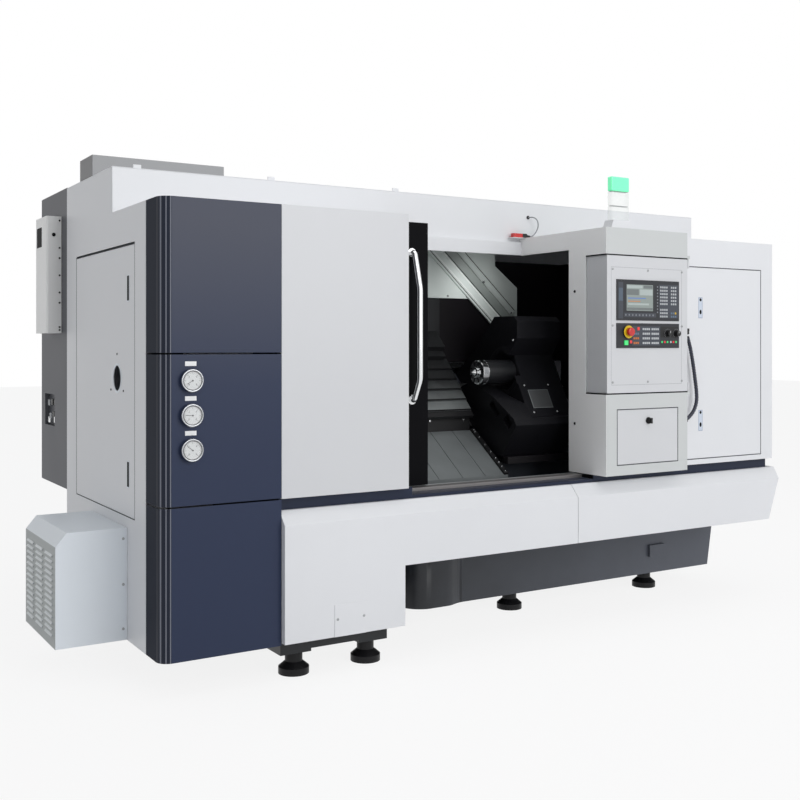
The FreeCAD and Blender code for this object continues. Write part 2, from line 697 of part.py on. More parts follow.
def tube(points, radius, radius_limit=None):
    wire, length, radii = rounded_path(points, radius_limit)
    first = V(*points[1]) - V(*points[0])
    section = Part.Wire([Part.makeCircle(radius, V(*points[0]), first)])
    solid = wire.makePipeShell([section], True, False)
    return solid, length, radii


def report_cord(name, solid, length, radii, radius):
    share = solid.Volume / (math.pi * radius * radius * length)
    print(name, "length", round(length, 1), "radii", radii, "volume share", round(share, 4))


def screw_y(x, face_y, z):
    return cyl_y(x, face_y - SCREW_RISE, face_y, z, SCREW_RADIUS)


def screw_x(face_x, y, z):
    return cyl_x(face_x - SCREW_RISE, face_x, y, z, SCREW_RADIUS)


# ---- base, feet and bed ----------------------------------------------------------------------------
def base_plan():
    """Outline seen from above: a rounded left corner, a fuller left end and a soft step to the long face."""
    step = BASE_Y - BULGE_Y
    half_run = BULGE_RUN / 2.0
    half_step = step / 2.0
    radius = (half_run ** 2 + half_step ** 2) / (2.0 * half_step)
    angle = math.asin(half_run / radius) / 2.0
    dx, dy = radius * math.sin(angle), radius * (1.0 - math.cos(angle))
    corner_x, corner_y = BASE_LEFT + BASE_CORNER, BULGE_Y + BASE_CORNER
    reach = BASE_CORNER * math.sqrt(0.5)
    step_right = BULGE_RIGHT + BULGE_RUN

    def at(x, y):
        return V(x, y, BASE_Z)

    edges = [
        Part.LineSegment(at(BASE_LEFT, BASE_REAR_Y), at(BASE_LEFT, corner_y)).toShape(),
        Part.Arc(at(BASE_LEFT, corner_y), at(corner_x - reach, corner_y - reach), at(corner_x, BULGE_Y)).toShape(),
        Part.LineSegment(at(corner_x, BULGE_Y), at(BULGE_RIGHT, BULGE_Y)).toShape(),
        Part.Arc(
            at(BULGE_RIGHT, BULGE_Y), at(BULGE_RIGHT + dx, BULGE_Y + dy),
            at(BULGE_RIGHT + half_run, BULGE_Y + half_step),
        ).toShape(),
        Part.Arc(
            at(BULGE_RIGHT + half_run, BULGE_Y + half_step),
            at(step_right - dx, BASE_Y - dy), at(step_right, BASE_Y),
        ).toShape(),
        Part.LineSegment(at(step_right, BASE_Y), at(BASE_RIGHT, BASE_Y)).toShape(),
        Part.LineSegment(at(BASE_RIGHT, BASE_Y), at(BASE_RIGHT, BASE_REAR_Y)).toShape(),
        Part.LineSegment(at(BASE_RIGHT, BASE_REAR_Y), at(BASE_LEFT, BASE_REAR_Y)).toShape(),
    ]
    return Part.Face(Part.Wire(edges))


def base_casting():
    body = base_plan().extrude(V(0, 0, BASE_TOP_Z - BASE_Z))
    draft_top = BELT_BOTTOM_Z - SEAM
    right_top = BASE_RIGHT + BASE_DRAFT * (draft_top - BASE_Z)
    overlap = BASE_RIGHT - BASE_WALL
    draft = [(overlap, BASE_Z), (BASE_RIGHT, BASE_Z), (right_top, draft_top), (overlap, draft_top)]
    body = body.fuse(prism_y(draft, BASE_Y, BASE_REAR_Y))
    pocket_run = (BASE_RIGHT - BASE_LEFT - BASE_WALL) / BASE_POCKETS
    pocket_spans = (
        (BASE_Y + POCKET_FRONT_WALL, POCKET_MIDDLE_Y),
        (POCKET_MIDDLE_Y + BASE_WALL, BASE_REAR_Y - POCKET_REAR_WALL),
    )
    for i in range(BASE_POCKETS):
        left = BASE_LEFT + BASE_WALL + i * pocket_run
        for front, rear in pocket_spans:
            body = body.cut(box(left, left + pocket_run - BASE_WALL, front, rear, BASE_Z,
                                BASE_TOP_Z - BASE_WALL))
    low = BASE_Z + FRAME_RAISE
    beam = box(FRAME_LEFT, FRAME_RIGHT, FRAME_Y, FRAME_Y + FRAME_BEAM_DEPTH, low, FRAME_TOP_Z)
    left_member = box(FRAME_LEFT, FRAME_LEFT + BRACKET_WIDTH, FRAME_Y, BASE_REAR_Y, low, FRAME_TOP_Z)
    right_member = box(FRAME_RIGHT - BRACKET_WIDTH, FRAME_RIGHT, FRAME_Y, FRAME_BACK_Y, low, FRAME_TOP_Z)
    end_block = box(FRAME_LEFT, BASE_LEFT, FRAME_BACK_Y, BASE_REAR_Y, low, BASE_TOP_Z)
    end_block = end_block.cut(
        box(FRAME_LEFT + BASE_WALL, BASE_LEFT - BASE_WALL, FRAME_BACK_Y + BASE_WALL, BASE_REAR_Y - BASE_WALL,
            low, BASE_TOP_Z - BASE_WALL)
    )
    brackets = [
        box(left, left + BRACKET_WIDTH, front, front + FRAME_BEAM_DEPTH, BASE_Z, low)
        for left, front in (
            (FRAME_LEFT, FRAME_Y), (FRAME_RIGHT - BRACKET_WIDTH, FRAME_Y), (FRAME_LEFT, BASE_REAR_Y - FRAME_BEAM_DEPTH),
        )
    ]
    frame = beam.fuse([left_member, right_member, end_block] + brackets)
    low_y, low_z = slant(BED_LOW, BED_FACE)
    high_y, high_z = slant(BED_HIGH, BED_FACE)
    bed_profile = [
        (low_y, BASE_TOP_Z), (low_y, low_z), (high_y, high_z), (BASE_REAR_Y, high_z), (BASE_REAR_Y, BASE_TOP_Z),
    ]
    bed = prism_x(bed_profile, BED_LEFT, BED_RIGHT)
    hollow = [
        (low_y + BED_HOLLOW_FRONT, BASE_TOP_Z), (high_y - BED_HOLLOW_BACK, high_z - BED_HOLLOW_DROP),
        (BASE_REAR_Y - BED_REAR_WALL, high_z - BED_HOLLOW_DROP), (BASE_REAR_Y - BED_REAR_WALL, BASE_TOP_Z),
    ]
    seat = box(HEADSTOCK_LEFT + SEAT_INSET, BED_LEFT, HEADSTOCK_FRONT, BASE_REAR_Y, BASE_TOP_Z,
               HEADSTOCK_BOTTOM_Z)
    shelf = box(FRAME_LEFT, BED_LEFT + SHELF_LAP, HEADSTOCK_FRONT, BASE_REAR_Y,
                BASE_TOP_Z - SHELF_DEPTH, BASE_TOP_Z + SHELF_LAP)
    drain = box(DRAIN_X, DRAIN_X + DRAIN_WIDTH, BASE_Y - DRAIN_REACH, BASE_Y, DRAIN_Z,
                DRAIN_Z + DRAIN_HEIGHT)
    casting = body.fuse([frame, bed, seat, shelf, drain])
    casting = casting.cut(prism_x(hollow, BED_LEFT + BED_END_WALL, BED_RIGHT - BED_END_WALL))
    return casting.removeSplitter()


def levelling_foot(x, y):
    rim = cyl_z(x, y, 0, FOOT_RIM, FOOT_RADIUS)
    dome = Part.makeCone(FOOT_RADIUS, STEM_RADIUS, FOOT_DOME, V(x, y, FOOT_RIM))
    stem = cyl_z(x, y, FOOT_RIM + FOOT_DOME, BASE_Z, STEM_RADIUS)
    return rim.fuse([dome, stem]).removeSplitter()


def guide_rail(along):
    half = GUIDE_RAIL_WIDTH / 2.0
    left = BED_LEFT + RAIL_END_GAP
    right = BED_RIGHT - RAIL_END_GAP
    return slant_block(left, right, along - half, along + half, BED_FACE, BED_FACE + GUIDE_RAIL_RISE)


def rail_grooves(x0, x1):
    """Room for all four rails under a carriage that runs on them."""
    half = GUIDE_RAIL_WIDTH / 2.0 + RAIL_CLEARANCE
    top = BED_FACE + GUIDE_RAIL_RISE + RAIL_CLEARANCE
    return [slant_block(x0, x1, at - half, at + half, BED_FACE,
                        top) for at in SADDLE_RAILS + TAILSTOCK_RAILS]


save("bed_casting", base_casting())
save("levelling_feet", *[levelling_foot(x, y) for x, y in FOOT_PLACES])
save("bed_rails", *[guide_rail(at) for at in SADDLE_RAILS + TAILSTOCK_RAILS])


# ---- headstock, spindle and chuck ------------------------------------------------------------------
HEADSTOCK_RIGHT = HEADSTOCK_LEFT + HEADSTOCK_LENGTH
CHUCK_LEFT = HEADSTOCK_RIGHT + CHUCK_GAP
CHUCK_RIGHT = CHUCK_LEFT + CHUCK_LENGTH


def headstock():
    block = box(
        HEADSTOCK_LEFT, HEADSTOCK_RIGHT, HEADSTOCK_FRONT, HEADSTOCK_REAR, HEADSTOCK_BOTTOM_Z, HEADSTOCK_TOP_Z
    )
    edge = HEADSTOCK_CHAMFER
    for y in (HEADSTOCK_FRONT, HEADSTOCK_REAR):
        inward = edge if y == HEADSTOCK_FRONT else -edge
        corner = [(y, HEADSTOCK_TOP_Z), (y + inward, HEADSTOCK_TOP_Z), (y, HEADSTOCK_TOP_Z - edge)]
        block = block.cut(prism_x(corner, HEADSTOCK_LEFT, HEADSTOCK_RIGHT))
    bore = cyl_x(HEADSTOCK_LEFT, HEADSTOCK_RIGHT, AXIS_Y, AXIS_Z, SPINDLE_RADIUS + SPINDLE_CLEARANCE)
    return block.cut(bore)


def spindle():
    left = HEADSTOCK_LEFT - SPINDLE_TAIL
    shaft = cyl_x(left, CHUCK_LEFT, AXIS_Y, AXIS_Z, SPINDLE_RADIUS)
    return shaft.cut(cyl_x(left, CHUCK_LEFT, AXIS_Y, AXIS_Z, SPINDLE_BORE))


def chuck():
    body = cyl_x(CHUCK_LEFT, CHUCK_RIGHT, AXIS_Y, AXIS_Z, CHUCK_RADIUS)
    for i in range(JAW_COUNT):
        jaw = box(
            CHUCK_RIGHT - JAW_ROOT, CHUCK_RIGHT + JAW_LENGTH,
            AXIS_Y - JAW_WIDTH / 2.0, AXIS_Y + JAW_WIDTH / 2.0, AXIS_Z + JAW_INNER, AXIS_Z + JAW_INNER + JAW_HEIGHT,
        )
        jaw.rotate(V(0, AXIS_Y, AXIS_Z), V(1, 0, 0), 360.0 / JAW_COUNT * i)
        body = body.fuse(jaw)
    return body.cut(cyl_x(CHUCK_LEFT, CHUCK_RIGHT, AXIS_Y, AXIS_Z, SPINDLE_BORE)).removeSplitter()


def spindle_motor():
    left = HEADSTOCK_LEFT - MOTOR_LENGTH
    shell = cyl_x(left, HEADSTOCK_LEFT, AXIS_Y, AXIS_Z, MOTOR_RADIUS)
    return shell.cut(cyl_x(left, HEADSTOCK_LEFT, AXIS_Y, AXIS_Z, SPINDLE_RADIUS + SPINDLE_CLEARANCE))


save("headstock", headstock())
save("spindle_motor", spindle_motor())
save("spindle", spindle())
save("chuck", chuck())


# ---- saddle, covers, cross slide and turret --------------------------------------------------------
def tread_under():
    return TREAD_FACE - TREAD_STEP


def cross_way_top():
    """Height of the cross slide's ways, clear of the folds of the treads that move over them."""
    return TREAD_FACE + FIXED_TREADS * TREAD_STEP - TREAD_STEP - JOIN_LAP


def saddle():
    under = BED_FACE + SADDLE_UNDER
    lip_y = APRON_TOP[0] + SADDLE_LIP
    top = tread_under()
    outline = [
        slant(SADDLE_LOW, under), slant(SADDLE_LOW, under + SADDLE_DEPTH),
        apron_point(SADDLE_LIP_SHARE, -APRON_SHEET - APRON_SEAT_GAP), (lip_y, APRON_TOP[1] - SADDLE_LIP_DROP),
        (lip_y, slant(BLOCK_LOW, SADDLE_TOP)[1]), slant(BLOCK_LOW, SADDLE_TOP),
        slant(BLOCK_LOW, top), slant(SADDLE_HIGH, top), slant(SADDLE_HIGH, under),
    ]
    body = prism_x(outline, SADDLE_LEFT, SADDLE_RIGHT)
    ways = [
        slant_block(x, x + CROSS_WAY_WIDTH, CROSS_LOW - CROSS_TRAVEL_ROOM, SADDLE_HIGH, top - JOIN_LAP,
                    cross_way_top())
        for x in CROSS_WAYS
    ]
    body = body.fuse(ways)
    for groove in rail_grooves(SADDLE_LEFT, SADDLE_RIGHT):
        body = body.cut(groove)
    return body.removeSplitter()


def tread(index, x0, x1):
    """One sheet of the stepped cover: a flat top with its lower edge folded down."""
    low = TREAD_LOW + index * TREAD_PITCH
    high = low + TREAD_PITCH + TREAD_LAP
    face = TREAD_FACE + index * TREAD_STEP
    top = slant_block(x0, x1, low, high, face - TREAD_SHEET, face)
    fold = slant_block(x0, x1, low, low + TREAD_SHEET, face - TREAD_STEP + TREAD_FOLD_GAP, face)
    return top.fuse(fold).removeSplitter()


def apron_point(share, lift=0.0):
    """A point on the apron's slope: share runs from its upper to its lower edge, lift is square to it."""
    run_y = APRON_LOW[0] - APRON_TOP[0]
    run_z = APRON_LOW[1] - APRON_TOP[1]
    length = math.hypot(run_y, run_z)
    return (
        APRON_TOP[0] + run_y * share + run_z / length * lift,
        APRON_TOP[1] + run_z * share - run_y / length * lift,
    )


def apron_strip(x0, x1, start, stop, under, top):
    corners = [apron_point(start, under), apron_point(stop, under), apron_point(stop, top),
               apron_point(start, top)]
    return prism_x(corners, x0, x1)


def saddle_apron():
    plate = apron_strip(APRON_PLATES[0], APRON_PLATES[-1], 0.0, 1.0, -APRON_SHEET, 0.0)
    for seam in APRON_PLATES[1:-1]:
        half = APRON_SEAM / 2.0
        plate = plate.cut(apron_strip(seam - half, seam + half, 0.0, 1.0, -APRON_GROOVE, 0.0))
    wiper = apron_strip(APRON_PLATES[-1] - WIPER_WIDTH, APRON_PLATES[-1], 0.0, 1.0, 0.0, WIPER_RISE)
    skirt_y, skirt_z = apron_point(1.0, 0.0)
    skirt = box(APRON_PLATES[0], APRON_PLATES[-1], skirt_y, skirt_y + APRON_SHEET,
                skirt_z - APRON_SKIRT, skirt_z - JOIN_LAP)
    carrier = [
        apron_point(BRACKET_SHARES[0], -APRON_SHEET), apron_point(BRACKET_SHARES[1], -APRON_SHEET),
        slant(SADDLE_LOW, BED_FACE + SADDLE_UNDER + SADDLE_DEPTH),
        apron_point(SADDLE_LIP_SHARE, -APRON_SHEET - APRON_BRACKET),
    ]
    near, far = SADDLE_LEFT + APRON_BRACKET_INSET, SADDLE_RIGHT - APRON_BRACKET_INSET
    bracket = prism_x(carrier, near, near + APRON_BRACKET)
    far_bracket = prism_x(carrier, far - APRON_BRACKET, far)
    body = plate.fuse([wiper, skirt, bracket, far_bracket])
    return body.cut([saddle()] + rail_grooves(SADDLE_LEFT, SADDLE_RIGHT)).removeSplitter()


def turret_centre():
    return slant(TURRET_ALONG, 0.0)


TURRET_DISC_LEFT = SADDLE_LEFT - TURRET_DISC - 3 * SEAM


def cross_slide():
    treads = [tread(i, SADDLE_LEFT, SADDLE_RIGHT) for i in range(FIXED_TREADS, TREAD_COUNT)]
    body = slant_block(SADDLE_LEFT, CROSS_RIGHT, CROSS_LOW, CROSS_HIGH, cross_way_top() + RAIL_CLEARANCE,
                       CROSS_TOP)
    tie = slant_block(SADDLE_LEFT, CROSS_RIGHT, TREAD_LOW + TREAD_COUNT * TREAD_PITCH, CROSS_LOW + JOIN_LAP,
                      TREAD_FACE + (TREAD_COUNT - 1) * TREAD_STEP - TREAD_SHEET, CROSS_TOP - ARM_SHOULDER)
    guard = box(GUARD_LEFT + SEAM, GUARD_RIGHT, GUARD_Y + SHEET + SEAM, GUARD_Y + 2 * SHEET + SEAM,
                GUARD_LOW_Z, GUARD_TOP_Z)
    centre_y, centre_z = turret_centre()
    left = TURRET_DISC_LEFT + TURRET_DISC + SEAM
    drum = cyl_x(left, left + TURRET_BODY, centre_y, centre_z, TURRET_BODY_RADIUS)
    arm = prism_x(
        [
            (centre_y, centre_z), (centre_y + ARM_OFFSET, centre_z + ARM_OFFSET),
            slant(CROSS_HIGH, CROSS_TOP + ARM_SHOULDER), slant(CROSS_HIGH, CROSS_TOP),
            slant(CROSS_LOW + ARM_FOOT, CROSS_TOP),
        ],
        left, left + TURRET_BODY,
    )
    pin = cyl_x(TURRET_DISC_LEFT + TURRET_PIN_INSET, left, centre_y, centre_z, TURRET_PIN)
    return body.fuse(treads + [tie, guard, drum, arm, pin]).removeSplitter()


def turret_disc():
    centre_y, centre_z = turret_centre()
    corners = []
    for i in range(TURRET_SIDES):
        angle = 2.0 * math.pi * (i + 0.5) / TURRET_SIDES
        corners.append((centre_y + TURRET_RADIUS * math.cos(angle),
                        centre_z + TURRET_RADIUS * math.sin(angle)))
    disc = prism_x(corners, TURRET_DISC_LEFT, TURRET_DISC_LEFT + TURRET_DISC)
    flat = TURRET_RADIUS * math.cos(math.pi / TURRET_SIDES)
    for i in range(0, TURRET_SIDES, 2):
        tool = box(
            TURRET_DISC_LEFT + TOOL_FRONT, TURRET_DISC_LEFT + TOOL_FRONT + TOOL_BLOCK,
            centre_y - TOOL_WIDTH / 2.0, centre_y + TOOL_WIDTH / 2.0, centre_z + flat - TOOL_ROOT,
            centre_z + flat + TOOL_REACH,
        )
        tool.rotate(V(0, centre_y, centre_z), V(1, 0, 0), 360.0 * i / TURRET_SIDES)
        disc = disc.fuse(tool)
    bore = cyl_x(
        TURRET_DISC_LEFT + TURRET_PIN_INSET - SEAM, TURRET_DISC_LEFT + TURRET_DISC, centre_y, centre_z,
        TURRET_PIN + SPINDLE_CLEARANCE,
    )
    return disc.cut(bore).removeSplitter()


save("saddle", saddle())
save("saddle_apron", saddle_apron())
save("tread_cover", *[tread(i, SADDLE_LEFT, SADDLE_RIGHT) for i in range(FIXED_TREADS)])
save("cross_slide", cross_slide())
save("turret_disc", turret_disc())


# ---- tailstock -------------------------------------------------------------------------------------
def tailstock():
    under = BED_FACE + SADDLE_UNDER
    foot_outline = [slant(TAIL_LOW, under), slant(TAIL_FOOT_HIGH, under)] + TAIL_FOOT_TOP + TAIL_FOOT_FRONT
    head_outline = [slant(TAIL_LOW, under), slant(TAIL_HIGH, under)] + TAIL_HEAD_TOP + TAIL_FOOT_FRONT
    foot = prism_x(foot_outline, TAIL_LEFT, TAIL_HEAD_LEFT + JOIN_LAP)
    body = foot.fuse(prism_x(head_outline, TAIL_HEAD_LEFT, TAIL_RIGHT))
    for groove in rail_grooves(TAIL_LEFT, TAIL_RIGHT):
        body = body.cut(groove)
    for along, square, wide, tall in TAIL_POCKETS:
        pocket = slant_block(
            TAIL_LEFT, TAIL_LEFT + POCKET_DEPTH, along - wide / 2.0, along + wide / 2.0,
            square - tall / 2.0, square + tall / 2.0,
        )
        body = body.cut(pocket)
    boss = cyl_x(TAIL_HEAD_LEFT - TAIL_BOSS_RISE, TAIL_HEAD_LEFT + JOIN_LAP, AXIS_Y, AXIS_Z,
                 TAIL_BOSS_RADIUS)
    body = body.fuse(boss.common(prism_x(head_outline, TAIL_HEAD_LEFT - TAIL_BOSS_RISE,
                                         TAIL_HEAD_LEFT + JOIN_LAP)))
    recess = cyl_x(TAIL_HEAD_LEFT - TAIL_BOSS_RISE, TAIL_HEAD_LEFT + QUILL_RECESS_DEPTH, AXIS_Y, AXIS_Z,
                   QUILL_RECESS_RADIUS)
    bore = cyl_x(TAIL_HEAD_LEFT, TAIL_RIGHT, AXIS_Y, AXIS_Z, QUILL_RADIUS + QUILL_BORE_CLEARANCE)
    return body.cut([recess, bore]).removeSplitter()


def quill():
    left = TAIL_HEAD_LEFT - QUILL_NOSE
    body = cyl_x(left, left + QUILL_LENGTH, AXIS_Y, AXIS_Z, QUILL_RADIUS)
    return body.cut(cyl_x(left, left + CENTRE_SHANK_LENGTH + SHANK_END_GAP, AXIS_Y, AXIS_Z,
                          CENTRE_SHANK + RUNNING_CLEARANCE))


def live_centre():
    face = TAIL_HEAD_LEFT - QUILL_NOSE - RUNNING_CLEARANCE
    shank = cyl_x(face, face + CENTRE_SHANK_LENGTH, AXIS_Y, AXIS_Z, CENTRE_SHANK)
    head = cyl_x(face - CENTRE_HEAD, face, AXIS_Y, AXIS_Z, CENTRE_HEAD_RADIUS)
    tip_place = V(face - CENTRE_HEAD, AXIS_Y, AXIS_Z)
    tip = Part.makeCone(CENTRE_TIP_ROOT, 1.0, CENTRE_TIP, tip_place, V(-1, 0, 0))
    return shank.fuse([head, tip]).removeSplitter()


save("tailstock", tailstock())
save("tailstock_quill", quill())
save("live_centre", live_centre())


# ---- walls of the work area ------------------------------------------------------------------------
def rear_guard():
    """Pale upper wall: a wide sheet with a slanted lobe at its right end, folded back behind the turret."""
    top = ROOF_Z - SHEET - FIT_GAP
    outline = [(GUARD_LEFT, UPPER_WALL_LOW_Z), UPPER_WALL_CORNER] + UPPER_WALL_OUTLINE
    outline += [(UPPER_WALL_OUTLINE[-1][0], top), (GUARD_LEFT, top)]
    sheet = prism_y(outline, GUARD_Y, GUARD_Y + SHEET)
    fold = box(GUARD_LEFT, GUARD_LEFT + SHEET, GUARD_Y, RECESS_Y, UPPER_WALL_LOW_Z + GUARD_FOLD_RAISE, top)
    left = box(LEFT_WALL_X + SHEET + SEAM, GUARD_LEFT + SHEET, RECESS_Y, RECESS_Y + SHEET, BED_TOP_Z + SEAM,
               top)
    return sheet.fuse([fold, left]).removeSplitter()


def wall_channel():
    run = V(CHANNEL_END[0] - CHANNEL_START[0], 0, CHANNEL_END[1] - CHANNEL_START[1])
    side = V(run.z, 0, -run.x).normalize() * -1.0
    start = V(CHANNEL_START[0], GUARD_Y + JOIN_LAP, CHANNEL_START[1])
    corners = [start + side * (CHANNEL_HALF * share) + V(0, -depth, 0) for share, depth in CHANNEL_SECTION]
    return prism(corners, run)


def inner_guards():
    left_wall = box(LEFT_WALL_X, LEFT_WALL_X + SHEET, TRAY_FRONT_Y, RECESS_Y, TRAY_Z + SEAM, WALL_TOP_Z)
    left_wall = left_wall.cut(cyl_x(LEFT_WALL_X, LEFT_WALL_X + SHEET, AXIS_Y, AXIS_Z,
                                    CHUCK_RADIUS + CHUCK_WALL_CLEARANCE))
    low_y, low_z = slant(BED_LOW, BED_FACE + SEAM)
    tray_rear = low_y - SEAM
    passage = [(tray_rear, TRAY_Z), (tray_rear, low_z), slant(BED_HIGH, BED_FACE + SEAM), (RECESS_Y, BED_TOP_Z + SEAM),
               (RECESS_Y, TRAY_Z)]
    left_wall = left_wall.cut(prism_x(passage, LEFT_WALL_X, LEFT_WALL_X + SHEET))
    back = GUARD_Y + 4 * SHEET
    right_wall = box(RIGHT_WALL_X, RIGHT_WALL_X + SHEET, HOUSING_BACK_Y + SEAM, back, TRAY_Z + SEAM,
                     WALL_TOP_Z)
    rear = box(GUARD_RIGHT + SEAM, RIGHT_WALL_X + SHEET, back - SHEET, back, REAR_WALL_LOW_Z, WALL_TOP_Z)
    tray = box(LEFT_WALL_X, RIGHT_WALL_X + SHEET, TRAY_FRONT_Y, tray_rear, TRAY_Z - SHEET, TRAY_Z)
    front = box(LEFT_WALL_X, RIGHT_WALL_X, TRAY_FRONT_Y, TRAY_FRONT_Y + SHEET, TRAY_Z,
                SILL_TOP_Z - SILL_THICKNESS)
    ledge = box(LEDGE_LEFT, RIGHT_WALL_X, LEDGE_Y, LEDGE_Y + LEDGE_DEPTH, LEDGE_LOW_Z,
                LEDGE_LOW_Z + LEDGE_HEIGHT)
    leg = box(RIGHT_WALL_X - LEDGE_LEG, RIGHT_WALL_X, LEDGE_Y, LEDGE_Y + LEDGE_DEPTH, TRAY_Z, LEDGE_LOW_Z)
    left_wall = left_wall.fuse(box(LEFT_WALL_X, LEFT_WALL_X + SHEET, TRAY_FRONT_Y, tray_rear, TRAY_Z,
                                   TRAY_Z + SEAM))
    return left_wall.fuse([right_wall, rear, tray, front, ledge, leg]).removeSplitter()


BED_TOP_Z = slant(BED_HIGH, BED_FACE)[1]


save("rear_guard", rear_guard().fuse(wall_channel()).removeSplitter())
save("inner_guards", inner_guards())


# ---- fixed enclosure panels ------------------------------------------------------------------------
def column_sheet(z0, z1):
    """Corner column: a front sheet and a short side return round a radius."""
    outer = box(0, COLUMN_WIDTH, 0, COLUMN_DEPTH, z0, z1)
    inner = box(SHEET, COLUMN_WIDTH, SHEET, COLUMN_DEPTH, z0, z1)
    corner = [e for e in outer.Edges if e.BoundBox.XMax < 1 and e.BoundBox.YMax < 1 and e.Length > 50]
    inside = [
        e for e in inner.Edges
        if e.BoundBox.XMax < SHEET + 1 and e.BoundBox.YMax < SHEET + 1 and e.Length > 50
    ]
    outer = outer.makeFillet(COLUMN_RADIUS, corner)
    inner = inner.makeFillet(COLUMN_RADIUS - SHEET, inside)
    return outer.cut(inner)


def column_panels():
    low_seam, high_seam = COLUMN_SEAMS
    half = COLUMN_SEAM_GAP / 2.0
    levels = ((SKIRT_Z, low_seam - half), (low_seam + half, high_seam - half),
              (high_seam + half, FRONT_TOP_Z))
    return [column_sheet(z0, z1) for z0, z1 in levels]


def left_side_panel():
    outline = [
        (COLUMN_DEPTH + COLUMN_SEAM_GAP / 2.0, SKIRT_Z), (REAR_Y, SKIRT_Z), (REAR_Y, ROOF_Z - SHEET),
        (HEADER_Y + SHEET + FIT_GAP, ROOF_Z - SHEET), (HEADER_Y + SHEET + FIT_GAP, FRONT_TOP_Z),
        (COLUMN_DEPTH + COLUMN_SEAM_GAP / 2.0, FRONT_TOP_Z),
    ]
    panel = prism_x(outline, 0, SHEET)
    panel = panel.cut(box(0, SHEET, SIDE_DOOR_FRONT, SIDE_DOOR_REAR, SIDE_DOOR_BOTTOM_Z,
                          SIDE_DOOR_TOP_Z + SIDE_DOOR_TOP_GAP))
    stop_x = DOOR_TRAY + SEAT
    stop = box(stop_x, stop_x + SHEET, SIDE_DOOR_FRONT - SHEET, SIDE_DOOR_FRONT + STOP_LAP,
               SIDE_DOOR_BOTTOM_Z, SIDE_DOOR_TOP_Z)
    web = box(SHEET, stop_x, SIDE_DOOR_FRONT - SHEET, SIDE_DOOR_FRONT, SIDE_DOOR_BOTTOM_Z, SIDE_DOOR_TOP_Z)
    return panel.fuse([stop, web]).removeSplitter()


def fixed_cover():
    return tray_y(COLUMN_WIDTH + SEAT, OPENING_LEFT, PANEL_BOTTOM_Z, FRONT_TOP_Z, 0, FLANGE)


def header_panel():
    face = box(0, BODY_LENGTH, HEADER_Y, HEADER_Y + SHEET, FRONT_RAIL_TOP_Z, ROOF_Z - SHEET)
    lip = box(SHEET + SEAM, BODY_LENGTH - SHEET - SEAM, HEADER_Y + SHEET, HEADER_Y + FLANGE,
              FRONT_RAIL_TOP_Z, FRONT_RAIL_TOP_Z + SHEET)
    face = face.cut(box(0, SHEET + FIT_GAP, HEADER_Y, HEADER_Y + SHEET, FRONT_RAIL_TOP_Z,
                        FRONT_TOP_Z + FIT_GAP))
    return face.fuse(lip).removeSplitter()


def roof_and_rear():
    roof = box(0, BODY_LENGTH, HEADER_Y, REAR_Y, ROOF_Z - SHEET, ROOF_Z)
    tabs = [box(x, x + TAB_WIDTH, HEADER_Y + TAB_SETBACK, HEADER_Y + TAB_SETBACK + TAB_THICKNESS, ROOF_Z,
                ROOF_Z + TAB_HEIGHT) for x in TAB_PLACES]
    roof = roof.fuse(tabs)
    left_roof = box(SHEET + SEAM, OPENING_LEFT, FLANGE + FIT_GAP, HEADER_Y - FIT_GAP,
                    FRONT_TOP_Z - SHEET, FRONT_TOP_Z)
    column_roof = box(COLUMN_RADIUS, COLUMN_WIDTH, SHEET + FIT_GAP, FLANGE + FIT_GAP,
                      FRONT_TOP_Z - SHEET, FRONT_TOP_Z)
    left_roof = left_roof.fuse(column_roof)
    right_roof = box(RIGHT_PANEL_LEFT, FRONT_LENGTH - SHEET - FIT_GAP, SHEET + FIT_GAP, HEADER_Y - FIT_GAP,
                     RIGHT_TOP_Z - SHEET, RIGHT_TOP_Z)
    rear = box(SHEET + FIT_GAP, BODY_LENGTH - SHEET - FIT_GAP, REAR_Y - SHEET, REAR_Y,
               BELT_BOTTOM_Z, ROOF_Z - SHEET - FIT_GAP)
    slant_room = BELT_END_SLANT + 2 * SHEET
    rear = rear.cut(box(BODY_LENGTH - slant_room, BODY_LENGTH, REAR_Y - SHEET, REAR_Y, 0, BELT_TOP_Z + SEAM))
    end = box(BODY_LENGTH - SHEET, BODY_LENGTH, HEADER_Y + SHEET + FIT_GAP, REAR_Y,
              BELT_TOP_Z + SEAM, ROOF_Z - SHEET - FIT_GAP)
    front_end = box(FRONT_LENGTH - SHEET, FRONT_LENGTH, SHEET + FIT_GAP, HEADER_Y, PANEL_BOTTOM_Z,
                    RIGHT_TOP_Z)
    step = box(FRONT_LENGTH - SHEET, BODY_LENGTH - SHEET - FIT_GAP, HEADER_Y, HEADER_Y + SHEET,
               BELT_TOP_Z + SEAM, FRONT_RAIL_TOP_Z - FIT_GAP)
    step = step.fuse(front_end)
    return [s.removeSplitter() for s in (roof, left_roof, right_roof, rear, end, step)]


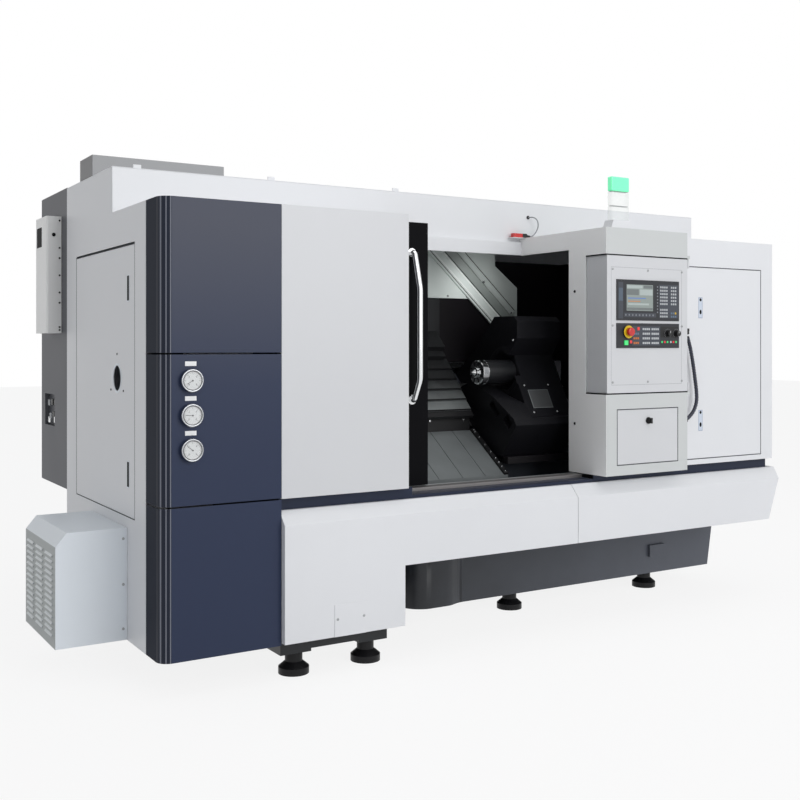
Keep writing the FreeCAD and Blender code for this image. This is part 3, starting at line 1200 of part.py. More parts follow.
def belt_profile(bottom_return):
    face = -BELT_PROUD
    inner_face = face + SHEET
    back = BELT_SETBACK + BELT_TOP_RETURN
    run = math.hypot(BELT_PROUD + BELT_SETBACK, BELT_TOP_Z - BELT_KNEE_Z)
    rise = (BELT_TOP_Z - BELT_KNEE_Z) / run
    knee = BELT_KNEE_Z - SHEET * (1.0 - (BELT_PROUD + BELT_SETBACK) / run) / max(rise, 0.1)
    top_y = BELT_SETBACK + SHEET * 0.4
    points = [(face, BELT_BOTTOM_Z), (face, BELT_KNEE_Z), (BELT_SETBACK, BELT_TOP_Z), (back, BELT_TOP_Z)]
    points += [(back, BELT_TOP_Z - SHEET), (top_y, BELT_TOP_Z - SHEET), (inner_face, knee)]
    if bottom_return:
        points += [(inner_face, BELT_BOTTOM_Z + SHEET), (face + BELT_BOTTOM_RETURN, BELT_BOTTOM_Z + SHEET)]
        points += [(face + BELT_BOTTOM_RETURN, BELT_BOTTOM_Z)]
    else:
        points += [(inner_face, BELT_BOTTOM_Z)]
    return points


def belt_left():
    left = COLUMN_WIDTH + SEAT
    over_apron = prism_x(belt_profile(False), left, APRON_RIGHT_X)
    beyond = prism_x(belt_profile(True), APRON_RIGHT_X, BELT_SEAM_X - SEAM / 2.0)
    face = -BELT_PROUD
    apron = box(left, APRON_RIGHT_X, face, face + SHEET, APRON_BOTTOM_Z, BELT_BOTTOM_Z)
    foot = box(left, APRON_RIGHT_X, face, face + BELT_BOTTOM_RETURN, APRON_BOTTOM_Z, APRON_BOTTOM_Z + SHEET)
    end = box(APRON_RIGHT_X - SHEET, APRON_RIGHT_X, face, face + BELT_BOTTOM_RETURN,
              APRON_BOTTOM_Z, BELT_BOTTOM_Z + SHEET)
    side = prism_x(
        [
            (face, APRON_BOTTOM_Z), (face, BELT_KNEE_Z), (BELT_SETBACK, BELT_TOP_Z),
            (BELT_SETBACK + BELT_TOP_RETURN, BELT_TOP_Z), (BELT_SETBACK + BELT_TOP_RETURN, APRON_BOTTOM_Z),
        ],
        left, left + SHEET,
    )
    sheet = over_apron.fuse([beyond, apron, foot, end, side])
    opening = box(ACCESS_X + ACCESS_LIP, ACCESS_X + ACCESS_WIDTH - ACCESS_LIP, face, face + SHEET,
                  APRON_BOTTOM_Z + ACCESS_LOW_LIP, APRON_BOTTOM_Z + ACCESS_HEIGHT - ACCESS_LIP)
    return sheet.cut(opening).removeSplitter()


def end_wedge(inset, y0, y1):
    """Everything right of the belt's leaning right end, inset by a sheet where asked."""
    lean = BELT_END_SLANT / (BELT_TOP_Z - BELT_BOTTOM_Z)
    top, low = BELT_TOP_Z + TRIM_REACH, BELT_BOTTOM_Z - TRIM_REACH
    right_at = lambda z: BODY_LENGTH - (BELT_TOP_Z - z) * lean - inset
    return prism_y([(right_at(low), low), (right_at(top), top), (TRIM_RIGHT, top), (TRIM_RIGHT, low)], y0, y1)


def belt_right():
    sheet = prism_x(belt_profile(True), BELT_SEAM_X + SEAM / 2.0, BODY_LENGTH + TRIM_LAP)
    hull = prism_x(
        [
            (-BELT_PROUD, BELT_BOTTOM_Z), (-BELT_PROUD, BELT_KNEE_Z), (BELT_SETBACK, BELT_TOP_Z),
            (REAR_Y, BELT_TOP_Z), (REAR_Y, BELT_BOTTOM_Z),
        ],
        BELT_SEAM_X, BODY_LENGTH + TRIM_LAP,
    )
    skirt = hull.common(end_wedge(SHEET, -TRIM_DEPTH, REAR_Y))
    whole = sheet.fuse(skirt).cut(end_wedge(0.0, -TRIM_DEPTH, REAR_Y + TRIM_DEPTH))
    return whole.removeSplitter()


def access_cover():
    return box(ACCESS_X, ACCESS_X + ACCESS_WIDTH, -BELT_PROUD - SHEET, -BELT_PROUD,
               APRON_BOTTOM_Z, APRON_BOTTOM_Z + ACCESS_HEIGHT)


def groove_strip():
    low = BELT_TOP_Z - GROOVE_DROP
    front = BELT_SETBACK + BELT_TOP_RETURN + SEAT
    back = front + SHEET
    meet = OPENING_LEFT + FLANGE
    left = box(COLUMN_WIDTH + SHEET + SEAM, meet, front, back, low, PANEL_BOTTOM_Z)
    sill_under = SILL_TOP_Z - SILL_THICKNESS
    middle = box(meet, OPENING_RIGHT, front, back, low, sill_under)
    ledge = box(OPENING_LEFT - BELT_SETBACK, OPENING_RIGHT, front, SILL_Y, sill_under - SHEET, sill_under)
    under = box(OPENING_RIGHT, RIGHT_PANEL_LEFT, front, back, low, HOUSING_BOTTOM_Z - SEAT)
    right = box(RIGHT_PANEL_LEFT, FRONT_LENGTH - 3 * SHEET, front, back, low, PANEL_BOTTOM_Z)
    side = box(FRONT_LENGTH - 4 * SHEET, FRONT_LENGTH - 3 * SHEET, front, HEADER_Y,
               BELT_TOP_Z + SEAT, PANEL_BOTTOM_Z - SEAT)
    return left.fuse([middle, ledge, under, right, side]).removeSplitter()


def right_front_panel():
    sheet = box(RIGHT_PANEL_LEFT, FRONT_LENGTH, 0, SHEET, PANEL_BOTTOM_Z, RIGHT_TOP_Z)
    frame = box(RIGHT_DOOR_LEFT - SHEET, RIGHT_DOOR_RIGHT + SHEET, SHEET, DOOR_TRAY + DOOR_TRAY_LAP,
                RIGHT_DOOR_BOTTOM_Z - SHEET, RIGHT_DOOR_TOP_Z + SHEET)
    opening = box(RIGHT_DOOR_LEFT, RIGHT_DOOR_RIGHT, 0, FLANGE, RIGHT_DOOR_BOTTOM_Z, RIGHT_DOOR_TOP_Z)
    stop = box(RIGHT_DOOR_LEFT - SHEET, RIGHT_DOOR_LEFT + STOP_LAP, DOOR_TRAY + SEAT, DOOR_TRAY + SEAT + SHEET,
               RIGHT_DOOR_BOTTOM_Z, RIGHT_DOOR_TOP_Z)
    return sheet.fuse(frame).cut(opening).fuse(stop).removeSplitter()


save("column_panels", *column_panels())
save("left_side_panel", left_side_panel())
save("fixed_front_cover", fixed_cover())
save("header_panel", header_panel())
save("roof_and_rear_panels", *roof_and_rear())
save("belt_panels", belt_left(), belt_right(), access_cover())
save("groove_strip", groove_strip())
save("right_front_panel", right_front_panel())


# ---- gauges ----------------------------------------------------------------------------------------
def gauge_heights():
    return [GAUGE_TOP_Z - i * GAUGE_PITCH for i in range(GAUGE_COUNT)]


def gauge_case(z):
    case = cyl_y(GAUGE_X, -GAUGE_DEPTH, 0, z, GAUGE_RADIUS)
    return case.cut(cyl_y(GAUGE_X, -GAUGE_DEPTH, -GAUGE_DEPTH + GAUGE_DIAL_RECESS, z,
                          GAUGE_RADIUS - GAUGE_RIM))


def gauge_dial(z, number):
    seat = -GAUGE_DEPTH + GAUGE_DIAL_RECESS
    dial = cyl_y(GAUGE_X, seat - GAUGE_DIAL_THICKNESS, seat, z, GAUGE_RADIUS - GAUGE_RIM - FIT_GAP)
    front = seat - GAUGE_DIAL_THICKNESS
    needle = prism_y(
        [
            (GAUGE_X - NEEDLE_WIDTH, z - NEEDLE_TAIL), (GAUGE_X + NEEDLE_WIDTH, z - NEEDLE_TAIL),
            (GAUGE_X, z + NEEDLE_LENGTH),
        ],
        front - NEEDLE_SHEET, front,
    )
    needle.rotate(V(GAUGE_X, 0, z), V(0, 1, 0), NEEDLE_FIRST - NEEDLE_TURN * number)
    hub = cyl_y(GAUGE_X, front - NEEDLE_HUB_RISE, front, z, NEEDLE_HUB)
    return dial.fuse([needle, hub]).removeSplitter()


def gauge_tag(z):
    """Small blank plate over a gauge."""
    return box(GAUGE_X - TAG_WIDTH / 2.0, GAUGE_X + TAG_WIDTH / 2.0, -TAG_THICKNESS, 0,
               z + TAG_RISE - TAG_HEIGHT / 2.0, z + TAG_RISE + TAG_HEIGHT / 2.0)


save("gauge_cases", *[gauge_case(z) for z in gauge_heights()], *[gauge_tag(z) for z in gauge_heights()])
save("gauge_dials", *[gauge_dial(z, i) for i, z in enumerate(gauge_heights())])


# ---- sill, rails and sliding door ------------------------------------------------------------------
def sill_plate():
    left = OPENING_LEFT + RAIL_START
    right = OPENING_RIGHT - FIT_GAP
    plate = box(left, right, SILL_Y, SILL_Y + SILL_DEPTH, SILL_TOP_Z - SILL_THICKNESS, SILL_TOP_Z)
    return plate


def door_rails():
    upper = box(RAIL_LEFT, OPENING_RIGHT - FIT_GAP, HEADER_Y - RAIL_DEPTH, HEADER_Y - FIT_GAP,
                FRONT_RAIL_TOP_Z - RAIL_HEIGHT, FRONT_RAIL_TOP_Z)
    mid = DOOR_Y + DOOR_DEPTH / 2.0
    lower = box(OPENING_LEFT + GUIDE_START, OPENING_RIGHT - GUIDE_END,
                mid - GUIDE_WIDTH / 2.0, mid + GUIDE_WIDTH / 2.0,
                SILL_TOP_Z, SILL_TOP_Z + GUIDE_HEIGHT)
    return [upper, lower]


def sliding_door():
    leaf_right = DOOR_RIGHT - DOOR_STILE - FIT_GAP
    leaf = tray_y(DOOR_LEFT, leaf_right, DOOR_BOTTOM_Z, DOOR_TOP_Z, DOOR_Y, DOOR_DEPTH)
    window = box(WINDOW_LEFT, WINDOW_RIGHT, DOOR_Y, DOOR_Y + DOOR_DEPTH, WINDOW_BOTTOM_Z, WINDOW_TOP_Z)
    leaf = leaf.cut(window)
    roof_rear = HEADER_Y - RAIL_DEPTH - SEAM
    roof = box(DOOR_LEFT, DOOR_RIGHT, DOOR_Y + DOOR_DEPTH, roof_rear, DOOR_TOP_Z - SHEET, DOOR_TOP_Z)
    fold = box(DOOR_LEFT, DOOR_RIGHT, roof_rear - SHEET, roof_rear, DOOR_TOP_Z - DOOR_FOLD, DOOR_TOP_Z - SHEET)
    hanger_z = FRONT_RAIL_TOP_Z + SEAT
    hangers = [
        box(x, x + HANGER_WIDTH, roof_rear - SHEET, HEADER_Y - HANGER_GAP, hanger_z, hanger_z + HANGER_SHEET)
        for x in (DOOR_LEFT + HANGER_INSETS[0], DOOR_RIGHT - HANGER_INSETS[1])
    ]
    return leaf.fuse([roof, fold] + hangers).removeSplitter()


def door_window():
    seat = DOOR_Y + SHEET + FIT_GAP
    return box(WINDOW_LEFT - WINDOW_LAP, WINDOW_RIGHT + WINDOW_LAP, seat, seat + WINDOW_THICKNESS,
               WINDOW_BOTTOM_Z - WINDOW_LAP, WINDOW_TOP_Z + WINDOW_LAP)


def door_stile():
    left = DOOR_RIGHT - DOOR_STILE
    outer = box(left, DOOR_RIGHT, DOOR_Y - STILE_PROUD, DOOR_Y + DOOR_DEPTH - FIT_GAP,
                DOOR_BOTTOM_Z, DOOR_TOP_Z - SHEET - FIT_GAP)
    hollow = box(left + STILE_WALL, DOOR_RIGHT - STILE_WALL, DOOR_Y + STILE_WALL, DOOR_Y + DOOR_DEPTH,
                 DOOR_BOTTOM_Z + STILE_WALL, DOOR_TOP_Z - SHEET - STILE_WALL)
    return outer.cut(hollow)


def door_handle():
    face = DOOR_Y - STILE_PROUD - FIT_GAP
    out = face - HANDLE_STANDOFF
    points = [
        (HANDLE_X, face, HANDLE_TOP_Z), (HANDLE_X, face - HANDLE_ROOT, HANDLE_TOP_Z),
        (HANDLE_X, out, HANDLE_TOP_Z - HANDLE_TOP_RUN), (HANDLE_X, out, HANDLE_LOW_Z + HANDLE_LOW_RUN),
        (HANDLE_X, face - HANDLE_ROOT, HANDLE_LOW_Z), (HANDLE_X, face, HANDLE_LOW_Z),
    ]
    bow = tube(points, HANDLE_TUBE, HANDLE_BEND)[0]
    roses = [cyl_y(HANDLE_X, face - HANDLE_ROSE_THICKNESS, face, z,
                   HANDLE_ROSE) for z in (HANDLE_TOP_Z, HANDLE_LOW_Z)]
    return bow.fuse(roses).removeSplitter()


save("sill_plate", sill_plate())
save("door_rails", *door_rails())
save("sliding_door", sliding_door())
save("door_window", door_window())
save("door_stile", door_stile())
save("door_handle", door_handle())


# ---- operator housing ------------------------------------------------------------------------------
def operator_housing():
    left, right = OPENING_RIGHT, HOUSING_RIGHT
    front, back = -HOUSING_PROUD, HOUSING_BACK_Y
    hood = box(left, right, front, back, HOOD_Z, HOUSING_TOP_Z)
    hood = hood.cut(box(left + SHEET, right - SHEET, front + SHEET, back, HOOD_Z + SHEET,
                        HOUSING_TOP_Z - SHEET))
    lower = box(left, right, front, back, HOUSING_BOTTOM_Z, LOWER_BOX_Z)
    lower = lower.cut(box(left + SHEET, right - SHEET, front + SHEET, back - SHEET,
                          HOUSING_BOTTOM_Z + SHEET, LOWER_BOX_Z - SHEET))
    lower = lower.cut(box(STORAGE_LEFT, STORAGE_LEFT + STORAGE_WIDTH, front, front + SHEET,
                          STORAGE_BOTTOM_Z, STORAGE_BOTTOM_Z + STORAGE_HEIGHT))
    stop_y = front + STORAGE_TRAY + SEAT
    storage_top = STORAGE_BOTTOM_Z + STORAGE_HEIGHT
    stop = box(STORAGE_LEFT, STORAGE_LEFT + STORAGE_WIDTH, stop_y, stop_y + SHEET,
               storage_top - STOP_LAP + SHEET, storage_top + SHEET)
    web = box(STORAGE_LEFT, STORAGE_LEFT + STORAGE_WIDTH, front + SHEET, stop_y, storage_top,
              storage_top + SHEET)
    wall_y = CONTROL_BACK_Y + CONTROL_GAP
    jamb = box(left, left + SHEET, wall_y, back, LOWER_BOX_Z, HOOD_Z)
    rear_wall = box(left, right, wall_y, wall_y + SHEET, LOWER_BOX_Z, HOOD_Z)
    post = box(right - SHEET, right, wall_y, back, LOWER_BOX_Z, HOOD_Z)
    beam = box(left, left + SHEET, back, HEADER_Y - FIT_GAP, BEAM_Z, HOUSING_TOP_Z)
    lip = box(left, right, back, HEADER_Y - FIT_GAP, HOUSING_TOP_Z - SHEET, HOUSING_TOP_Z)
    tab = box(left - LIP_LEFT, left, HEADER_Y - FIT_GAP - LIP_DEPTH, HEADER_Y - FIT_GAP,
              HOUSING_TOP_Z - SHEET, HOUSING_TOP_Z)
    hinge_x = right + CONTROL_HINGE_OUT
    lug_low = box(right, hinge_x + HINGE_KNUCKLE, CONTROL_HINGE_Y - HINGE_KNUCKLE, CONTROL_HINGE_Y + HINGE_KNUCKLE,
                  LOWER_BOX_Z - HINGE_LUG, LOWER_BOX_Z)
    lug_high = box(right, hinge_x + HINGE_KNUCKLE, CONTROL_HINGE_Y - HINGE_KNUCKLE, CONTROL_HINGE_Y + HINGE_KNUCKLE,
                   HOOD_Z, HOOD_Z + HINGE_LUG)
    pin_low = cyl_z(hinge_x, CONTROL_HINGE_Y, LOWER_BOX_Z - HINGE_LUG, LOWER_BOX_Z + HINGE_PIN_REACH,
                    HINGE_PIN)
    pin_high = cyl_z(hinge_x, CONTROL_HINGE_Y, HOOD_Z - HINGE_PIN_REACH, HOOD_Z + HINGE_LUG, HINGE_PIN)
    whole = hood.fuse([lower, stop, web, jamb, rear_wall, post, beam, lip, tab, lug_low, lug_high, pin_low,
                       pin_high])
    return whole.removeSplitter()


def storage_door():
    clear = SEAM / 2.0
    leaf = tray_y(STORAGE_LEFT + clear, STORAGE_LEFT + STORAGE_WIDTH - clear, STORAGE_BOTTOM_Z + clear,
                  STORAGE_BOTTOM_Z + STORAGE_HEIGHT - clear, -HOUSING_PROUD, STORAGE_TRAY)
    return leaf.cut(cyl_y(STORAGE_LOCK_X, -HOUSING_PROUD, 0, STORAGE_LOCK_Z,
                          LOCK_STEM + RUNNING_CLEARANCE))


def storage_lock():
    face = -HOUSING_PROUD - RUNNING_CLEARANCE
    stem = cyl_y(STORAGE_LOCK_X, face, face + LOCK_STEM_LENGTH, STORAGE_LOCK_Z, LOCK_STEM)
    front = face - LOCK_COLLAR
    collar = cyl_y(STORAGE_LOCK_X, front, face, STORAGE_LOCK_Z, LOCK_RADIUS + LOCK_COLLAR_LIP)
    wing = box(STORAGE_LOCK_X - LOCK_WING_HALF, STORAGE_LOCK_X + LOCK_WING_HALF, face - LOCK_REACH, front,
               STORAGE_LOCK_Z - LOCK_RADIUS, STORAGE_LOCK_Z + LOCK_RADIUS)
    barrel = cyl_y(STORAGE_LOCK_X, face - LOCK_REACH * LOCK_BARREL_SHARE, front, STORAGE_LOCK_Z, LOCK_BARREL)
    cam_back = face + LOCK_STEM_LENGTH
    cam = box(STORAGE_LOCK_X - LOCK_CAM_HALF, STORAGE_LOCK_X + LOCK_CAM_HALF, cam_back - LOCK_CAM_SHEET, cam_back,
              STORAGE_LOCK_Z - LOCK_CAM_HALF, STORAGE_LOCK_Z + LOCK_CAM_REACH)
    return stem.fuse([collar, wing, barrel, cam]).removeSplitter()


def control_box():
    left, right = OPENING_RIGHT + CONTROL_INSET, HOUSING_RIGHT
    face = -HOUSING_PROUD
    shell = box(left, right, face, CONTROL_BACK_Y, CONTROL_LOW_Z, CONTROL_HIGH_Z)
    shell = shell.cut(box(left + SHEET, right - SHEET, face + SHEET, CONTROL_BACK_Y - SHEET,
                          CONTROL_LOW_Z + SHEET, CONTROL_HIGH_Z - SHEET))
    hinge_x = right + CONTROL_HINGE_OUT
    bore = HINGE_PIN + RUNNING_CLEARANCE
    parts = []
    for low in (CONTROL_LOW_Z + KNUCKLE_END_GAP, CONTROL_HIGH_Z - KNUCKLE_END_GAP - KNUCKLE_LENGTH):
        knuckle = cyl_z(hinge_x, CONTROL_HINGE_Y, low, low + KNUCKLE_LENGTH, HINGE_KNUCKLE)
        leaf = box(right - JOIN_LAP, hinge_x, CONTROL_HINGE_Y - HINGE_LEAF, CONTROL_HINGE_Y + HINGE_LEAF, low,
                   low + KNUCKLE_LENGTH)
        parts.append(knuckle.fuse(leaf).cut(cyl_z(hinge_x, CONTROL_HINGE_Y, low, low + KNUCKLE_LENGTH,
                                                  bore)))
    half = START_SIZE / 2.0 + RUNNING_CLEARANCE
    holes = [
        cyl_y(ESTOP_X, face, face + SHEET, ESTOP_Z, ESTOP_STEM + RUNNING_CLEARANCE),
        box(START_X - half, START_X + half, face, face + SHEET, START_Z - half, START_Z + half),
    ]
    return shell.fuse(parts).cut(holes).removeSplitter()


def face_screws():
    places = [(x, z) for x in FACE_SCREW_COLUMNS for z in FACE_SCREW_ROWS]
    middle = (FACE_SCREW_COLUMNS[1], FACE_SCREW_ROWS[1])
    return [screw_y(x, -HOUSING_PROUD, z) for x, z in places if (x, z) != middle]


def screen_unit():
    face = -HOUSING_PROUD - PANEL_PLATE
    plate = box(PANEL_LEFT, PANEL_LEFT + PANEL_WIDTH, face, -HOUSING_PROUD, SCREEN_BOTTOM_Z,
                SCREEN_BOTTOM_Z + SCREEN_HEIGHT)
    top = SCREEN_BOTTOM_Z + SCREEN_HEIGHT - SCREEN_DROP
    left = PANEL_LEFT + SCREEN_SIDE
    glass = box(left, left + SCREEN_WIDTH, face, face + SCREEN_RECESS, top - SCREEN_TALL, top)
    return plate.cut(glass)


def machine_panel():
    face = -HOUSING_PROUD - PANEL_PLATE
    plate = box(PANEL_LEFT, PANEL_LEFT + PANEL_WIDTH, face, -HOUSING_PROUD, KEYPANEL_BOTTOM_Z,
                KEYPANEL_BOTTOM_Z + KEYPANEL_HEIGHT)
    collar = cyl_y(ESTOP_X, face - COLLAR_DEPTH, face, ESTOP_Z, COLLAR_RADIUS)
    plate = plate.fuse(collar)
    plate = plate.cut(cyl_y(ESTOP_X, face - COLLAR_DEPTH, -HOUSING_PROUD, ESTOP_Z,
                            ESTOP_STEM + RUNNING_CLEARANCE))
    half = START_SIZE / 2.0 + RUNNING_CLEARANCE
    plate = plate.cut(box(START_X - half, START_X + half, face, -HOUSING_PROUD, START_Z - half,
                          START_Z + half))
    for i in range(2):
        x = KNOB_FIRST_X + i * KNOB_PITCH
        plate = plate.cut(cyl_y(x, face, -HOUSING_PROUD, KNOB_Z, KNOB_SHAFT + RUNNING_CLEARANCE))
    return plate.removeSplitter()


def key_block(left, top, columns, rows, size, pitch_x, pitch_z):
    keys = []
    for i in range(columns):
        for j in range(rows):
            x, z = PANEL_LEFT + left + i * pitch_x, top - j * pitch_z
            keys.append(box(x, x + size, PANEL_FACE_Y - KEY_RISE, PANEL_FACE_Y, z - size, z))
    return keys


def panel_keys():
    return [key for block in KEY_BLOCKS for key in key_block(*block)]


def estop_button():
    face = PANEL_FACE_Y
    stem = cyl_y(ESTOP_X, face - ESTOP_STEM_LENGTH, -HOUSING_PROUD - STEM_END_GAP, ESTOP_Z, ESTOP_STEM)
    cap = cyl_y(ESTOP_X, face - ESTOP_STEM_LENGTH - ESTOP_CAP, face - ESTOP_STEM_LENGTH, ESTOP_Z,
                ESTOP_RADIUS)
    crown = [e for e in cap.Edges if e.BoundBox.YMax < face - ESTOP_STEM_LENGTH - ESTOP_CAP + 1.0]
    cap = cap.makeFillet(ESTOP_ROUND, crown)
    return stem.fuse(cap).removeSplitter()


def start_button():
    half = START_SIZE / 2.0
    face = PANEL_FACE_Y
    return box(START_X - half, START_X + half, face - START_RISE, -HOUSING_PROUD - START_ROOT, START_Z - half,
               START_Z + half)


def override_knob(x):
    face = PANEL_FACE_Y - RUNNING_CLEARANCE
    seat = face - KNOB_SKIRT
    shaft = cyl_y(x, face, -HOUSING_PROUD, KNOB_Z, KNOB_SHAFT)
    skirt = cyl_y(x, seat, face, KNOB_Z, KNOB_RADIUS + KNOB_SKIRT_LIP)
    grip = cyl_y(x, face - KNOB_HEIGHT, seat, KNOB_Z, KNOB_RADIUS)
    for i in range(KNOB_FLUTES):
        angle = 2.0 * math.pi * i / KNOB_FLUTES
        flute_x = x + (KNOB_RADIUS + FLUTE_OFFSET) * math.cos(angle)
        flute_z = KNOB_Z + (KNOB_RADIUS + FLUTE_OFFSET) * math.sin(angle)
        grip = grip.cut(cyl_y(flute_x, face - KNOB_HEIGHT, seat, flute_z, FLUTE_RADIUS))
    return shaft.fuse([skirt, grip]).removeSplitter()


save("operator_housing", operator_housing())
save("storage_door", storage_door())
save("storage_lock", storage_lock())
save("control_box", control_box())
save("screen_unit", screen_unit())
save("machine_panel", machine_panel())
save("panel_keys", *panel_keys())
save("estop_button", estop_button())
save("start_button", start_button())
save("feed_knob", override_knob(KNOB_FIRST_X))
save("speed_knob", override_knob(KNOB_FIRST_X + KNOB_PITCH))


# ---- hinged doors ----------------------------------------------------------------------------------
def right_door():
    clear = SEAM / 2.0
    leaf = tray_y(RIGHT_DOOR_LEFT + clear, RIGHT_DOOR_RIGHT - clear, RIGHT_DOOR_BOTTOM_Z + clear,
                  RIGHT_DOOR_TOP_Z - clear, 0, DOOR_TRAY)
    for low in (LATCH_LOW_Z, LATCH_HIGH_Z):
        recess = box(LATCH_X - LATCH_WIDTH / 2.0, LATCH_X + LATCH_WIDTH / 2.0, 0, LATCH_RECESS, low,
                     low + LATCH_HEIGHT)
        leaf = leaf.cut(recess)
    return leaf


def side_door():
    clear = SEAM / 2.0
    front, rear = SIDE_DOOR_FRONT + clear, SIDE_DOOR_REAR - clear
    low, high = SIDE_DOOR_BOTTOM_Z + clear, SIDE_DOOR_TOP_Z - clear
    leaf = box(0, DOOR_TRAY, front, rear, low, high)
    leaf = leaf.cut(box(SHEET, DOOR_TRAY, front + SHEET, rear - SHEET, low + SHEET, high - SHEET))
    for latch in (SIDE_LATCH_LOW_Z, SIDE_LATCH_HIGH_Z):
        recess = box(0, LATCH_RECESS, SIDE_LATCH_Y - SIDE_LATCH_WIDTH / 2.0, SIDE_LATCH_Y + SIDE_LATCH_WIDTH / 2.0,
                     latch, latch + SIDE_LATCH_HEIGHT)
        leaf = leaf.cut(recess)
    return leaf.cut(cyl_x(0, SHEET, AXIS_Y, AXIS_Z, PORT_RADIUS))


save("right_door", right_door())
save("side_door", side_door())


# ---- boxes on the left side and the roof -----------------------------------------------------------
def louvred_cover():
    right = -FIT_GAP
    left, top = -LOUVRE_REACH, LOUVRE_TOP_Z
    outer = prism_y(
        [(right, LOUVRE_BOTTOM_Z), (right, top), (left + LOUVRE_CHAMFER_X, top), (left, top - LOUVRE_CHAMFER_Z),
         (left, LOUVRE_BOTTOM_Z)],
        LOUVRE_FRONT, LOUVRE_REAR,
    )
    inner = prism_y(
        [(right, LOUVRE_BOTTOM_Z + SHEET), (right, top - SHEET),
         (left + LOUVRE_CHAMFER_X + LOUVRE_INNER_X, top - SHEET),
         (left + SHEET, top - LOUVRE_CHAMFER_Z - LOUVRE_INNER_Z), (left + SHEET, LOUVRE_BOTTOM_Z + SHEET)],
        LOUVRE_FRONT + SHEET, LOUVRE_REAR - SHEET,
    )
    shell = outer.cut(inner)
    margin = (LOUVRE_REAR - LOUVRE_FRONT - (LOUVRE_COLUMNS - 1) * LOUVRE_PITCH_Y - LOUVRE_LENGTH) / 2.0
    slots = []
    hoods = []
    for column in range(LOUVRE_COLUMNS):
        y = LOUVRE_FRONT + margin + column * LOUVRE_PITCH_Y
        for row in range(LOUVRE_ROWS):
            z = LOUVRE_START_Z + row * LOUVRE_PITCH_Z
            slots.append(box(left, left + SHEET, y, y + LOUVRE_LENGTH, z, z + LOUVRE_SLOT))
            root = left + SHEET / 2.0
            outline = [(root, z + LOUVRE_SLOT), (root, z + LOUVRE_SLOT + LOUVRE_LIP),
                       (left - LOUVRE_HOOD, z + LOUVRE_LIP),
                       (left - LOUVRE_HOOD, z)]
            hoods.append(prism_y(outline, y - SEAM, y + LOUVRE_LENGTH + SEAM))
    return shell.cut(slots).fuse(hoods).removeSplitter()


def electrical_cabinet():
    front = REAR_Y + FIT_GAP
    shell = box(0, CABINET_LENGTH, front, CABINET_REAR_Y - DOOR_TRAY, CABINET_BOTTOM_Z, CABINET_TOP_Z)
    shell = shell.cut(box(SHEET, CABINET_LENGTH - SHEET, front + SHEET, CABINET_REAR_Y,
                          CABINET_BOTTOM_Z + SHEET, CABINET_TOP_Z - SHEET))
    pocket = box(SHEET, SHEET + SOCKET_RECESS, SOCKET_FRONT - SHEET, SOCKET_REAR + SHEET,
                 SOCKET_BOTTOM_Z - SHEET, SOCKET_TOP_Z + SHEET)
    shell = shell.fuse(pocket)
    shell = shell.cut(box(0, SOCKET_RECESS, SOCKET_FRONT, SOCKET_REAR, SOCKET_BOTTOM_Z, SOCKET_TOP_Z))
    plate_back = front + PLATE_STANDOFF + SHEET
    plate = box(SHEET, CABINET_LENGTH - SHEET, front + PLATE_STANDOFF, plate_back,
                CABINET_BOTTOM_Z + PLATE_MARGIN, CABINET_TOP_Z - PLATE_MARGIN)
    modules = []
    for row in range(MODULE_ROWS):
        for slot in range(MODULE_COLUMNS):
            x = MODULE_LEFT + slot * MODULE_PITCH_X
            z = CABINET_BOTTOM_Z + MODULE_LOW + row * MODULE_PITCH_Z
            modules.append(box(x, x + MODULE_WIDTH, plate_back, plate_back + MODULE_DEPTH, z,
                               z + MODULE_HEIGHT))
    return shell.fuse([plate] + modules).removeSplitter()


def cabinet_door():
    clear = FIT_GAP
    face = CABINET_REAR_Y
    leaf = box(clear, CABINET_LENGTH - clear, face - DOOR_TRAY + clear, face, CABINET_BOTTOM_Z + clear,
               CABINET_TOP_Z - clear)
    leaf = leaf.cut(box(clear + SHEET, CABINET_LENGTH - clear - SHEET, face - DOOR_TRAY, face - SHEET,
                        CABINET_BOTTOM_Z + clear + SHEET, CABINET_TOP_Z - clear - SHEET))
    return leaf.cut(cyl_y(SWITCH_X, face - SHEET, face, SWITCH_Z, SWITCH_STEM + RUNNING_CLEARANCE))


def main_switch():
    face = CABINET_REAR_Y + RUNNING_CLEARANCE
    stem = cyl_y(SWITCH_X, face - SWITCH_STEM_LENGTH, face, SWITCH_Z, SWITCH_STEM)
    disc = cyl_y(SWITCH_X, face, face + SWITCH_DISC, SWITCH_Z, SWITCH_RADIUS)
    grip = box(SWITCH_X - SWITCH_GRIP, SWITCH_X + SWITCH_GRIP,
               face + SWITCH_DISC, face + SWITCH_REACH - RUNNING_CLEARANCE,
               SWITCH_Z - SWITCH_GRIP_HALF, SWITCH_Z + SWITCH_GRIP_HALF)
    return stem.fuse([disc, grip]).removeSplitter()


def cooling_unit():
    body = box(-COOLER_REACH, -FIT_GAP, COOLER_FRONT, COOLER_REAR, COOLER_BOTTOM_Z, COOLER_TOP_Z)
    edges = [e for e in body.Edges if e.Length > 500.0 and e.BoundBox.XMax < -COOLER_REACH + 1.0]
    body = body.makeFillet(COOLER_EDGE, edges)
    window = box(-COOLER_REACH, -COOLER_REACH + COOLER_WINDOW_DEPTH, *COOLER_WINDOW)
    return body.cut(window)


def roof_duct():
    outer = box(0, DUCT_LENGTH, DUCT_FRONT, DUCT_REAR, ROOF_Z + FIT_GAP, DUCT_TOP_Z)
    return outer.cut(box(SHEET, DUCT_LENGTH - SHEET, DUCT_FRONT + SHEET, DUCT_REAR - SHEET,
                         ROOF_Z, DUCT_TOP_Z - SHEET))


